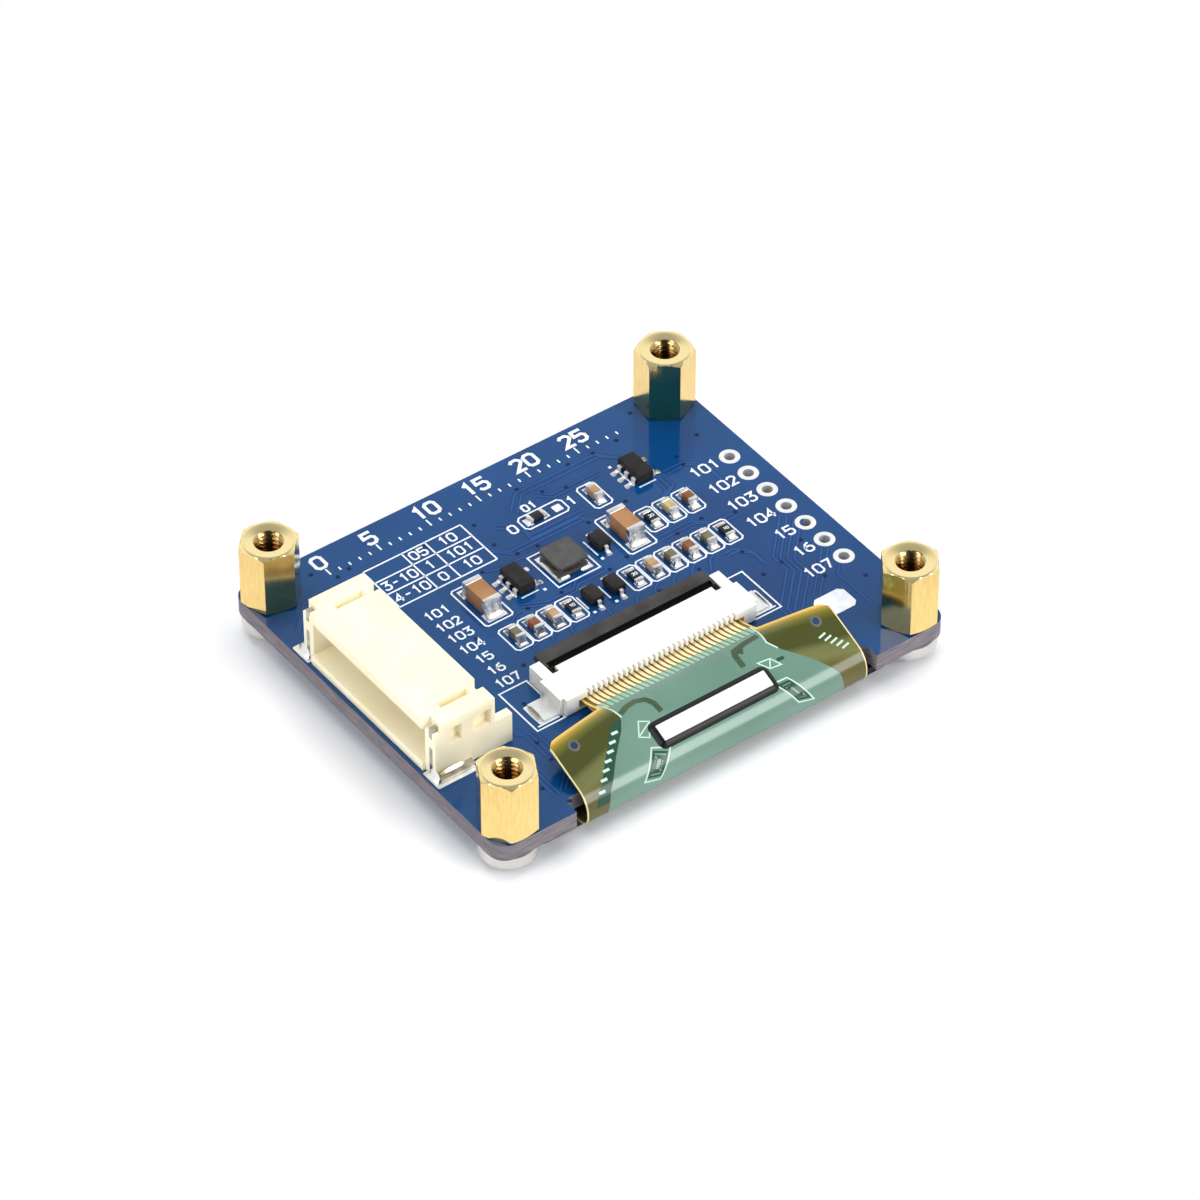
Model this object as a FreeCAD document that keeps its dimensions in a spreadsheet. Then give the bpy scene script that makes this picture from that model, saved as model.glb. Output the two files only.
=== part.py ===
import FreeCAD, Part
import math
import os
import re

import Sketcher

# A small square display module: a blue board that lies over the back of a glass panel, with four brass
# standoffs, a side-entry wire connector on its left edge, a flat-cable connector near its front edge, and
# the panel's folded flexible circuit in between.
# The origin is the middle of the panel's viewing face. +Z runs from that face up through the board, +Y to
# the board's back edge and +X to the seven soldering holes. All sizes are in millimetres.

SIZES = {
    # Board
    "board_length": 44.5,
    "board_depth": 37.0,
    "board_thickness": 1.6,
    "board_corner": 1.5,
    "notch_length": 29.8,
    "notch_depth": 1.7,
    "notch_corner": 0.8,
    "bolt_hole": 2.7,
    "bolt_from_side": 2.38,
    "bolt_from_end": 2.26,
    "header_hole": 1.0,
    "header_pitch": 2.54,
    "header_count": 7,
    "header_inset": 2.13,
    # Display panel
    "panel_side_margin": 5.35,
    "panel_end_margin": 1.5,
    "front_glass_thickness": 0.7,
    "rear_glass_thickness": 0.7,
    "ledge_depth": 2.2,
    "polariser_thickness": 0.2,
    "polariser_margin": 0.5,
    "polariser_strip": 3.2,
    "tape_thickness": 0.5,
    "tape_margin": 1.2,
    # Standoffs and their screws
    "standoff_flats": 4.5,
    "standoff_height": 6.0,
    "standoff_bore": 2.05,
    "standoff_mouth": 2.6,
    "standoff_face": 4.4,
    "standoff_slope": 30,
    "screw_head": 5.0,
    "screw_head_height": 1.65,
    "screw_crown": 0.9,
    "screw_shank": 2.5,
    "screw_length": 5.0,
    "screw_thread_gap": 0.03,
    "screw_tip_room": 0.3,
    "recess_span": 2.6,
    "recess_width": 0.6,
    "recess_depth": 0.9,
    # Wire connector
    "wire_count": 7,
    "wire_pitch": 2.0,
    "wire_end_allowance": 3.0,
    "wire_mouth_inset": 0.4,
    "wire_height": 5.5,
    "wire_floor": 0.9,
    "wire_roof": 1.0,
    "wire_end_wall": 1.35,
    "wire_cavity_depth": 5.05,
    "wire_back_wall": 1.0,
    "rail_setback": 0.28,
    "rail_top_setback": 0.85,
    "rail_top_height": 0.9,
    "roof_notch_depth": 0.6,
    "roof_notch_width": 1.1,
    "roof_notch_from_end": 1.6,
    "roof_pocket_length": 2.8,
    "roof_pocket_width": 0.7,
    "roof_pocket_depth": 0.7,
    "roof_pocket_from_mouth": 2.05,
    "roof_pocket_from_end": 1.6,
    "window_sill": 3.0,
    "window_height": 1.6,
    "window_depth": 0.6,
    "front_window_from_mouth": 1.65,
    "front_window_length": 1.2,
    "rear_window_from_mouth": 3.95,
    "rear_window_length": 1.7,
    "ear_length": 1.65,
    "ear_thickness": 0.75,
    "ear_height": 2.95,
    "wire_contact_square": 0.5,
    "wire_contact_axis": 2.7,
    "wire_contact_tip": 1.4,
    "wire_contact_gap": 0.2,
    "wire_contact_foot": 1.2,
    "hold_down_sheet": 0.4,
    "hold_down_length": 3.4,
    "hold_down_height": 2.9,
    "hold_down_inset": 0.4,
    "hold_down_reach": 0.75,
    "hold_down_tip_sill": 3.9,
    "hold_down_tip_top": 5.0,
    "hold_down_tip_reach": 1.3,
    "hold_down_bridge": 0.5,
    # Flat-cable connector
    "ribbon_count": 30,
    "ribbon_pitch": 0.5,
    "ribbon_offset": 0.22,
    "socket_inset": 9.0,
    "socket_end_allowance": 2.55,
    "socket_height": 1.8,
    "socket_lift": 0.1,
    "socket_floor": 0.25,
    "socket_cavity": 0.8,
    "socket_cavity_inset": 1.6,
    "socket_shoulder": 0.35,
    "socket_shoulder_start": 0.4,
    "socket_shoulder_end": 3.1,
    "socket_roof_depth": 3.8,
    "socket_arm_end": 5.0,
    "socket_arm": 1.0,
    "socket_notch_width": 0.65,
    "socket_notch_depth": 0.6,
    "comb_slot": 0.25,
    "comb_depth": 0.35,
    "latch_gap": 0.08,
    "latch_side_gap": 0.05,
    "latch_cam": 0.55,
    "latch_plate": 0.6,
    "latch_reach": 1.4,
    "latch_hook_reach": 1.05,
    "latch_hook_drop": 0.15,
    "latch_hook_top": 0.4,
    "latch_hook_room": 0.35,
    "trunnion": 0.5,
    "trunnion_gap": 0.05,
    "trunnion_reach": 0.45,
    "ribbon_contact_width": 0.2,
    "ribbon_contact_sheet": 0.15,
    "ribbon_contact_tail": 0.6,
    "ribbon_contact_riser": 0.2,
    "ribbon_contact_rear": 0.4,
    "contact_bump_in": 2.5,
    "contact_bump_rise": 0.2,
    "contact_bump_half": 0.35,
    "tab_sheet": 0.2,
    "tab_width": 2.3,
    "tab_height": 0.9,
    "tab_foot": 1.4,
    # Folded flexible circuit and its driver chip
    "flex_thickness": 0.1,
    "flex_width": 27.8,
    "flex_neck": 15.8,
    "flex_entry": 2.2,
    "flex_entry_height": 0.85,
    "flex_rise_from_mouth": 0.3,
    "flex_rise_bend": 4.0,
    "flex_crest_from_mouth": 3.5,
    "flex_crest_height": 2.13,
    "flex_crest_bend": 2.2,
    "flex_fold_inset": 0.2,
    "flex_fold_height": 0.0,
    "flex_fold_bend": 2.0,
    "flex_under_bend": 1.1,
    "flex_bond": 1.7,
    "wing_start": 2.0,
    "wing_drop": 1.1,
    "wing_tip_drop": 0.7,
    "wing_tip_inset": 0.7,
    "wing_round": 0.5,
    "wing_hole": 0.6,
    "wing_hole_inset": 1.9,
    "wing_hole_from_mouth": 4.4,
    "chip_across": 10.8,
    "chip_deep": 1.5,
    "chip_thickness": 0.35,
    "chip_from_mouth": 6.7,
    "resin_margin": 0.45,
    "resin_height": 0.2,
    # Small parts on the board
    "band_proud": 0.03,
    "capacitor_across": 0.8,
    "capacitor_along": 1.6,
    "capacitor_height": 0.8,
    "capacitor_band": 0.35,
    "storage_across": 1.6,
    "storage_along": 3.2,
    "storage_height": 1.6,
    "storage_band": 0.5,
    "resistor_across": 0.8,
    "resistor_along": 1.6,
    "resistor_height": 0.45,
    "resistor_band": 0.3,
    "moulding_draft": 6,
    "lead_sheet": 0.12,
    "lead_height": 0.5,
    "lead_drop_reach": 0.25,
    "lead_foot": 0.25,
    "diode_across": 1.25,
    "diode_along": 1.7,
    "diode_height": 0.9,
    "diode_lead": 0.3,
    "regulator_across": 1.6,
    "regulator_along": 2.9,
    "regulator_height": 1.1,
    "regulator_lead": 0.4,
    "regulator_pitch": 0.95,
    "inductor_side": 3.0,
    "inductor_corner": 0.22,
    "inductor_height": 1.15,
    "inductor_flange": 0.3,
    "inductor_post": 1.9,
    "winding_across": 2.7,
    "winding_gap": 0.02,
    # The front row of small parts, from its left end
    "front_row_start": -6.98,
    "front_row_line": 0.4,
    "chip_slot": 1.86,
    "diode_slot": 2.2,
}

# Middle of each small part of the two rows behind, across and deep from the board's middle.
PLACES = {
    "storage_capacitor_1": (-6.78, 5.3),
    "regulator_1": (-3.1, 5.5),
    "inductor": (1.37, 5.27),
    "diode_3": (5.0, 5.35),
    "storage_capacitor_2": (7.65, 5.3),
    "resistor_4": (10.2, 5.25),
    "capacitor_8": (12.1, 5.25),
    "capacitor_9": (14.05, 5.25),
    "resistor_5": (2.75, 10.95),
    "capacitor_10": (8.25, 10.35),
    "regulator_2": (12.65, 10.6),
}

# The front row's parts in order: a capacitor, a resistor or a diode in each slot.
FRONT_ROW = (
    "capacitor_1", "capacitor_2", "capacitor_3", "resistor_1", "diode_1", "diode_2",
    "resistor_2", "capacitor_4", "capacitor_5", "capacitor_6", "capacitor_7", "resistor_3",
)

# Each standoff was tightened to its own turn about its axis, in degrees.
STANDOFF_TURNS = {
    ("front", "left"): 2.0,
    ("front", "right"): 55.0,
    ("back", "left"): 47.0,
    ("back", "right"): 23.5,
}

# A screw head's rounded crown is turned in short stretches, between these angles from its axis.
CROWN_ANGLES = (0, 45, 90)

SIDES = {"left": -1, "right": 1}
ENDS = {"front": -1, "back": 1}

for label, (across, deep) in PLACES.items():
    SIZES[label + "_x"] = across
    SIZES[label + "_y"] = deep

# Heights and lengths that follow from the sizes above.
BOLT_ACROSS = "(board_length / 2 - bolt_from_side)"
BOLT_DEEP = "(board_depth / 2 - bolt_from_end)"
GLASS_ACROSS = "(board_length - 2 * panel_side_margin)"
GLASS_DEEP = "(board_depth - 2 * panel_end_margin)"
GLASS_TOP = "(polariser_thickness + front_glass_thickness)"
REAR_GLASS_TOP = f"({GLASS_TOP} + rear_glass_thickness)"
BOARD_BOTTOM = f"({REAR_GLASS_TOP} + tape_thickness)"
BOARD_TOP = f"({BOARD_BOTTOM} + board_thickness)"
WIRE_HALF = "((wire_count - 1) * wire_pitch / 2 + wire_end_allowance)"
WIRE_DEPTH = "(wire_cavity_depth + wire_back_wall)"
WIRE_MOUTH = "(wire_mouth_inset - board_length / 2)"
SOCKET_HALF = "((ribbon_count - 1) * ribbon_pitch / 2 + socket_end_allowance)"
SOCKET_NARROW = f"({SOCKET_HALF} - socket_shoulder)"
ARM_INNER = f"({SOCKET_NARROW} - socket_arm)"
SOCKET_MOUTH = "(socket_inset - board_depth / 2)"
SOCKET_FLOOR_TOP = "(socket_lift + socket_floor)"
PIVOT_IN = "(socket_roof_depth + latch_gap + latch_cam)"
PIVOT_HEIGHT = "(socket_height - latch_cam)"
LATCH_HALF = f"({ARM_INNER} - latch_side_gap)"
TAB_START = "(socket_shoulder_start + (socket_shoulder_end - socket_shoulder_start - tab_width) / 2)"

document = FreeCAD.newDocument("display_module")
sheet = document.addObject("Spreadsheet::Sheet", "Sizes")
for row, (name, value) in enumerate(SIZES.items(), 1):
    sheet.set(f"A{row}", str(value))
    sheet.setAlias(f"A{row}", name)
document.recompute()


def size(name):
    """One size as the sheet holds it."""
    return float(sheet.get(name))


def bound(formula):
    """A formula with each size in it tied to its cell."""
    def cell(word):
        return "Sizes." + word.group() if word.group() in SIZES else word.group()
    return re.sub(r"[a-z][a-z_0-9]*", cell, formula)


def origin_of(body, role):
    """One of a body's own planes or axes."""
    return next(feature for feature in body.Origin.OriginFeatures if feature.Role == role)


def new_body(label, place=("0", "0", "0"), turn=None):
    """A piece of its own, standing at a place and turned about one axis."""
    body = document.addObject("PartDesign::Body", label)
    body.Label = label
    if turn is not None:
        axis, angle = turn
        body.Placement = FreeCAD.Placement(FreeCAD.Vector(), FreeCAD.Rotation(axis, 1))
        body.setExpression("Placement.Rotation.Angle", bound(angle))
    for axis_name, coordinate in zip("xyz", place):
        body.setExpression(f"Placement.Base.{axis_name}", bound(coordinate))
    return body


def draw_loop(sketch, corners):
    """A closed loop whose corners each keep their two distances from the sketch's origin."""
    first = sketch.GeometryCount
    count = len(corners)
    circle = [2 * math.pi * number / count for number in range(count)]
    points = [FreeCAD.Vector(math.cos(angle), math.sin(angle), 0) for angle in circle]
    for number, point in enumerate(points):
        sketch.addGeometry(Part.LineSegment(point, points[(number + 1) % count]), False)
    for number in range(count):
        following = first + (number + 1) % count
        sketch.addConstraint(Sketcher.Constraint("Coincident", first + number, 2, following, 1))
    for number, (point, corner) in enumerate(zip(points, corners), first):
        across = sketch.addConstraint(Sketcher.Constraint("DistanceX", -1, 1, number, 1, point.x))
        upward = sketch.addConstraint(Sketcher.Constraint("DistanceY", -1, 1, number, 1, point.y))
        sketch.setExpression(f"Constraints[{across}]", bound(corner[0]))
        sketch.setExpression(f"Constraints[{upward}]", bound(corner[1]))


def draw_circle(sketch, x, y, diameter):
    """A circle held by its middle and its diameter."""
    number = sketch.addGeometry(Part.Circle(FreeCAD.Vector(1, 1, 0), FreeCAD.Vector(0, 0, 1), 1), False)
    across = sketch.addConstraint(Sketcher.Constraint("DistanceX", -1, 1, number, 3, 1))
    upward = sketch.addConstraint(Sketcher.Constraint("DistanceY", -1, 1, number, 3, 1))
    wide = sketch.addConstraint(Sketcher.Constraint("Diameter", number, 2))
    for constraint, formula in ((across, x), (upward, y), (wide, diameter)):
        sketch.setExpression(f"Constraints[{constraint}]", bound(formula))


def new_sketch(body, name, role, lift="0", loops=(), circles=()):
    """A sketch on one of the body's planes, lifted off it along its normal."""
    sketch = body.newObject("Sketcher::SketchObject", name)
    sketch.AttachmentSupport = [(origin_of(body, role), "")]
    sketch.MapMode = "FlatFace"
    sketch.setExpression("AttachmentOffset.Base.z", bound(lift))
    for corners in loops:
        draw_loop(sketch, corners)
    for x, y, diameter in circles:
        draw_circle(sketch, x, y, diameter)
    return sketch


def rectangle(low_x, high_x, low_y, high_y):
    """The four corners between two distances each way."""
    return [(low_x, low_y), (high_x, low_y), (high_x, high_y), (low_x, high_y)]


def pad(body, name, sketch, length, symmetric=False, draft="0"):
    """Material raised from a sketch."""
    feature = body.newObject("PartDesign::Pad", name)
    feature.Profile = sketch
    feature.Midplane = symmetric
    feature.setExpression("Length", bound(length))
    feature.setExpression("TaperAngle", bound(draft))
    return feature


def pocket(body, name, sketch, depth, forward=False, symmetric=False):
    """Material cut away behind a sketch, or ahead of it."""
    feature = body.newObject("PartDesign::Pocket", name)
    feature.Profile = sketch
    feature.Midplane = symmetric
    feature.Reversed = forward
    feature.setExpression("Length", bound(depth))
    return feature


def turned(body, kind, name, sketch):
    """A sketch carried once round the body's upright axis, as material or as a cut."""
    feature = body.newObject("PartDesign::" + kind, name)
    feature.Profile = sketch
    feature.ReferenceAxis = (origin_of(body, "Z_Axis"), [""])
    feature.Angle = 360
    return feature


def repeat(body, name, feature, role, count, pitch):
    """A feature repeated at an even pitch along one of the body's axes."""
    pattern = body.newObject("PartDesign::LinearPattern", name)
    pattern.Originals = [feature]
    pattern.Direction = (origin_of(body, role), [""])
    pattern.setExpression("Occurrences", bound(count))
    pattern.setExpression("Length", bound(f"({count} - 1) * {pitch}"))
    body.Tip = pattern
    return pattern


def mirror(body, name, features, role):
    """Features repeated on the other side of one of the body's planes."""
    pattern = body.newObject("PartDesign::Mirrored", name)
    pattern.Originals = features
    pattern.MirrorPlane = (origin_of(body, role), [""])
    body.Tip = pattern
    return pattern


def round_edges(body, name, feature, chosen, radius):
    """A fillet along the edges that the test picks by their two ends."""
    document.recompute()
    edges = []
    for number, edge in enumerate(feature.Shape.Edges, 1):
        if chosen(edge.Vertexes[0].Point, edge.Vertexes[-1].Point):
            edges.append(f"Edge{number}")
    fillet = body.newObject("PartDesign::Fillet", name)
    fillet.Base = (feature, edges)
    fillet.setExpression("Radius", bound(radius))
    return fillet


def upright(start, end):
    """Whether an edge runs straight up."""
    return start.distanceToPoint(end) > Part.Precision.confusion() and math.hypot(
        start.x - end.x, start.y - end.y) < Part.Precision.confusion()


def block(label, low, lengths):
    """A plain rectangular piece from its low corner and its three lengths."""
    piece = document.addObject("Part::Box", label)
    piece.Label = label
    for side, length in zip(("Length", "Width", "Height"), lengths):
        piece.setExpression(side, bound(length))
    for axis_name, coordinate in zip("xyz", low):
        piece.setExpression(f"Placement.Base.{axis_name}", bound(coordinate))
    return piece


def circuit_board():
    """The board: rounded corners, a wide notch where the flexible circuit passes, four screw holes and a
    row of soldering holes along the right edge."""
    board = new_body("circuit_board", ("0", "0", BOARD_BOTTOM))
    right, back = "board_length / 2", "board_depth / 2"
    notch_back = "notch_depth - board_depth / 2"
    outline = [
        ("-" + right, "-" + back), ("-notch_length / 2", "-" + back), ("-notch_length / 2", notch_back),
        ("notch_length / 2", notch_back), ("notch_length / 2", "-" + back), (right, "-" + back),
        (right, back), ("-" + right, back),
    ]
    plate = pad(board, "plate", new_sketch(board, "outline", "XY_Plane", loops=[outline]), "board_thickness")

    def outer_corner(start, end):
        return upright(start, end) and abs(start.x) > size("board_length") / 2 - Part.Precision.confusion()

    def notch_corner(start, end):
        return upright(start, end) and abs(start.x) < size("board_length") / 2 and abs(
            start.y - size("notch_depth") + size("board_depth") / 2) < Part.Precision.confusion()

    rounded = round_edges(board, "corners", plate, outer_corner, "board_corner")
    round_edges(board, "notch_corners", rounded, notch_corner, "notch_corner")
    bolts = [(f"{side} * {BOLT_ACROSS}", f"{end} * {BOLT_DEEP}", "bolt_hole")
             for side in SIDES.values() for end in ENDS.values()]
    bolt_sketch = new_sketch(board, "bolt_circles", "XY_Plane", "board_thickness", circles=bolts)
    pocket(board, "bolt_holes", bolt_sketch, "board_thickness")
    first = ("board_length / 2 - header_inset", "-(header_count - 1) * header_pitch / 2", "header_hole")
    header_sketch = new_sketch(board, "header_circle", "XY_Plane", "board_thickness", circles=[first])
    hole = pocket(board, "header_first_hole", header_sketch, "board_thickness")
    repeat(board, "header_holes", hole, "Y_Axis", "header_count", "header_pitch")


def display_panel():
    """The panel: front glass with a ledge left bare along its front edge, a shorter rear glass, a
    polariser on the viewing side and the foam tape that holds it to the board."""
    left, front = f"-{GLASS_ACROSS} / 2", f"-{GLASS_DEEP} / 2"
    block("polariser",
          (left + " + polariser_margin", front + " + polariser_strip", "0"),
          (GLASS_ACROSS + " - 2 * polariser_margin", GLASS_DEEP + " - polariser_strip - polariser_margin",
           "polariser_thickness"))
    block("front_glass",
          (left, front, "polariser_thickness"),
          (GLASS_ACROSS, GLASS_DEEP, "front_glass_thickness"))
    block("rear_glass",
          (left, front + " + ledge_depth", GLASS_TOP),
          (GLASS_ACROSS, GLASS_DEEP + " - ledge_depth", "rear_glass_thickness"))
    block("mounting_tape",
          (left + " + tape_margin", front + " + ledge_depth + tape_margin", REAR_GLASS_TOP),
          (GLASS_ACROSS + " - 2 * tape_margin", GLASS_DEEP + " - ledge_depth - 2 * tape_margin",
           "tape_thickness"))


def standoff(label, x, y, turn):
    """A hexagonal brass spacer: turned faces cut its corners at both ends. The lower stretch of its bore
    seats the module's own screw at the thread's full size, and above the screw's tip the bore is free, at
    the thread's tapping size up to a countersunk mouth."""
    spacer = new_body(label, (x, y, BOARD_TOP), (FreeCAD.Vector(0, 0, 1), str(turn)))
    corner = "standoff_flats / (2 * cos(30))"
    hexagon = [(f"{corner} * cos({60 * number})", f"{corner} * sin({60 * number})") for number in range(6)]
    pad(spacer, "bar", new_sketch(spacer, "hexagon", "XY_Plane", loops=[hexagon]), "standoff_height")
    countersink = "(standoff_mouth - standoff_bore) / 2"
    seat = "(screw_shank / 2 + screw_thread_gap)"
    seated = "(screw_length - board_thickness + screw_tip_room)"
    bore = [
        ("0", "0"), (seat, "0"), (seat, seated),
        ("standoff_bore / 2", f"{seated} + {seat} - standoff_bore / 2"),
        ("standoff_bore / 2", "standoff_height - " + countersink),
        ("standoff_mouth / 2", "standoff_height"), ("0", "standoff_height"),
    ]
    turned(spacer, "Groove", "bore", new_sketch(spacer, "bore_section", "XZ_Plane", loops=[bore]))
    fall = "(standoff_flats - standoff_face / 2) * tan(standoff_slope)"
    corners = [
        [("standoff_face / 2", level), ("standoff_flats", level), ("standoff_flats", f"{level} {way} {fall}")]
        for level, way in (("0", "+"), ("standoff_height", "-"))
    ]
    turned(spacer, "Groove", "turned_corners", new_sketch(spacer, "corner_cuts", "XZ_Plane", loops=corners))


def screw(label, x, y):
    """A pan-head screw under the board: its head hangs below and its shank runs up into the standoff."""
    fastener = new_body(label, (x, y, BOARD_BOTTOM))
    crown = [(f"screw_head / 2 - screw_crown * (1 - sin({angle}))",
              f"screw_crown * (1 - cos({angle})) - screw_head_height") for angle in CROWN_ANGLES]
    profile = [("0", "-screw_head_height")] + crown + [
        ("screw_head / 2", "0"), ("screw_shank / 2", "0"),
        ("screw_shank / 2", "screw_length"), ("0", "screw_length"),
    ]
    half_section = new_sketch(fastener, "half_section", "XZ_Plane", loops=[profile])
    turned(fastener, "Revolution", "turning", half_section)
    arm, slot = "recess_span / 2", "recess_width / 2"
    cross = [
        ("-" + arm, "-" + slot), ("-" + slot, "-" + slot), ("-" + slot, "-" + arm), (slot, "-" + arm),
        (slot, "-" + slot), (arm, "-" + slot), (arm, slot), (slot, slot), (slot, arm), ("-" + slot, arm),
        ("-" + slot, slot), ("-" + arm, slot),
    ]
    cross_sketch = new_sketch(fastener, "cross", "XY_Plane", "-screw_head_height", loops=[cross])
    pocket(fastener, "cross_recess", cross_sketch, "recess_depth", forward=True)


def hold_down_blade(body, name, side):
    """The outline of the hold-down's upright blade, drawn at its inner face: a low plate along the end
    wall whose front climbs behind a bridge of plastic and shows again at the rail's step."""
    outline = [
        ("rail_setback", "0"), ("rail_setback + hold_down_length", "0"),
        ("rail_setback + hold_down_length", "hold_down_height"), ("hold_down_tip_reach", "hold_down_height"),
        ("hold_down_tip_reach", "hold_down_tip_top"), ("rail_setback", "hold_down_tip_top"),
        ("rail_setback", "hold_down_tip_sill"), ("rail_setback + hold_down_bridge", "hold_down_tip_sill"),
        ("rail_setback + hold_down_bridge", "hold_down_height"), ("rail_setback", "hold_down_height"),
    ]
    inner = f"({WIRE_HALF} - hold_down_inset - hold_down_sheet)"
    lift = inner if side < 0 else f"-({WIRE_HALF} - hold_down_inset)"
    return new_sketch(body, name, "XZ_Plane", lift, loops=[outline])


def wire_housing():
    """The moulded shell of the side-entry wire connector, open to the left: end rails set back from the
    mouth, notches and shallow pockets in the roof, windows in the end faces, and two ears at the back."""
    shell = new_body("wire_housing", (WIRE_MOUTH, "0", BOARD_TOP))
    section = new_sketch(shell, "section", "XZ_Plane", loops=[rectangle("0", WIRE_DEPTH, "0", "wire_height")])
    pad(shell, "shell", section, "2 * " + WIRE_HALF, symmetric=True)
    cavity_half = f"({WIRE_HALF} - wire_end_wall)"
    mouth = rectangle("-" + cavity_half, cavity_half, "wire_floor", "wire_height - wire_roof")
    pocket(shell, "cavity", new_sketch(shell, "mouth", "YZ_Plane", loops=[mouth]), "wire_cavity_depth",
           forward=True)

    sides = list(SIDES.values())
    rails = [rectangle(f"{side} * {cavity_half}", f"{side} * {WIRE_HALF}", "0", "wire_height")
             for side in sides]
    pocket(shell, "rail_fronts", new_sketch(shell, "rails", "YZ_Plane", loops=rails), "rail_setback",
           forward=True)
    rail_tops = [rectangle(f"{side} * {cavity_half}", f"{side} * {WIRE_HALF}",
                           "wire_height - rail_top_height", "wire_height") for side in sides]
    pocket(shell, "rail_steps", new_sketch(shell, "rail_tops", "YZ_Plane", loops=rail_tops),
           "rail_top_setback", forward=True)

    notch_out = f"({WIRE_HALF} - roof_notch_from_end)"
    notches = [rectangle(WIRE_DEPTH + " - roof_notch_depth", WIRE_DEPTH,
                         f"{side} * ({notch_out} - roof_notch_width)", f"{side} * {notch_out}")
               for side in sides]
    pocket(shell, "roof_notches", new_sketch(shell, "notches", "XY_Plane", "wire_height", loops=notches),
           "wire_roof")
    pocket_out = f"({WIRE_HALF} - roof_pocket_from_end)"
    pockets = [rectangle("roof_pocket_from_mouth", "roof_pocket_from_mouth + roof_pocket_length",
                         f"{side} * ({pocket_out} - roof_pocket_width)", f"{side} * {pocket_out}")
               for side in sides]
    pocket(shell, "roof_pockets", new_sketch(shell, "pockets", "XY_Plane", "wire_height", loops=pockets),
           "roof_pocket_depth")

    windows = [rectangle(f"{place}_window_from_mouth", f"{place}_window_from_mouth + {place}_window_length",
                         "window_sill", "window_sill + window_height") for place in ("front", "rear")]
    window_sketch = new_sketch(shell, "windows", "XZ_Plane", WIRE_HALF, loops=windows)
    cut = pocket(shell, "end_windows", window_sketch, "window_depth")
    mirror(shell, "far_windows", [cut], "XZ_Plane")
    ear_sketch = new_sketch(shell, "ear_outline", "XZ_Plane", WIRE_HALF + " - ear_thickness",
                            loops=[rectangle(WIRE_DEPTH, WIRE_DEPTH + " + ear_length", "0", "ear_height")])
    ear = pad(shell, "ear", ear_sketch, "ear_thickness")
    mirror(shell, "far_ear", [ear], "XZ_Plane")

    for name, side in SIDES.items():
        blade = hold_down_blade(shell, f"{name}_blade", side)
        pocket(shell, f"{name}_blade_slot", blade, "hold_down_sheet", forward=True)
    feet = [rectangle(f"{side} * ({WIRE_HALF} - hold_down_inset)", f"{side} * ({WIRE_HALF} + hold_down_reach)",
                      "0", "hold_down_sheet") for side in sides]
    pocket(shell, "foot_slots", new_sketch(shell, "feet", "YZ_Plane", "rail_setback", loops=feet),
           "hold_down_length", forward=True)
    half = "wire_contact_square / 2"
    first = "-(wire_count - 1) * wire_pitch / 2"
    hole = rectangle(f"{first} - {half}", f"{first} + {half}",
                     f"wire_contact_axis - {half}", f"wire_contact_axis + {half}")
    hole_sketch = new_sketch(shell, "contact_hole", "YZ_Plane", "wire_cavity_depth", loops=[hole])
    passage = pocket(shell, "contact_passage", hole_sketch, "wire_back_wall", forward=True)
    repeat(shell, "contact_passages", passage, "Y_Axis", "wire_count", "wire_pitch")


def wire_contact(number):
    """A square contact: its pin stands in the housing, and its tail drops behind to a foot on the board."""
    along = f"({number - 1} - (wire_count - 1) / 2) * wire_pitch"
    contact = new_body(f"wire_contact_{number}", (WIRE_MOUTH, along, BOARD_TOP))
    low, high = "wire_contact_axis - wire_contact_square / 2", "wire_contact_axis + wire_contact_square / 2"
    leg = WIRE_DEPTH + " + wire_contact_gap"
    path = [
        ("wire_contact_tip", low), (leg, low), (leg, "0"), (leg + " + wire_contact_foot", "0"),
        (leg + " + wire_contact_foot", "wire_contact_square"),
        (leg + " + wire_contact_square", "wire_contact_square"),
        (leg + " + wire_contact_square", high), ("wire_contact_tip", high),
    ]
    pad(contact, "wire", new_sketch(contact, "path", "XZ_Plane", loops=[path]), "wire_contact_square",
        symmetric=True)


def hold_down(name, side):
    """A metal tab that holds one end of the wire connector: an upright blade and a foot on the board."""
    tab = new_body(f"hold_down_{name}", (WIRE_MOUTH, "0", BOARD_TOP))
    pad(tab, "blade", hold_down_blade(tab, "blade_outline", side), "hold_down_sheet")
    foot = rectangle(f"{side} * ({WIRE_HALF} - hold_down_inset)", f"{side} * ({WIRE_HALF} + hold_down_reach)",
                     "0", "hold_down_sheet")
    pad(tab, "foot", new_sketch(tab, "foot_outline", "YZ_Plane", "rail_setback", loops=[foot]),
        "hold_down_length")


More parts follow.
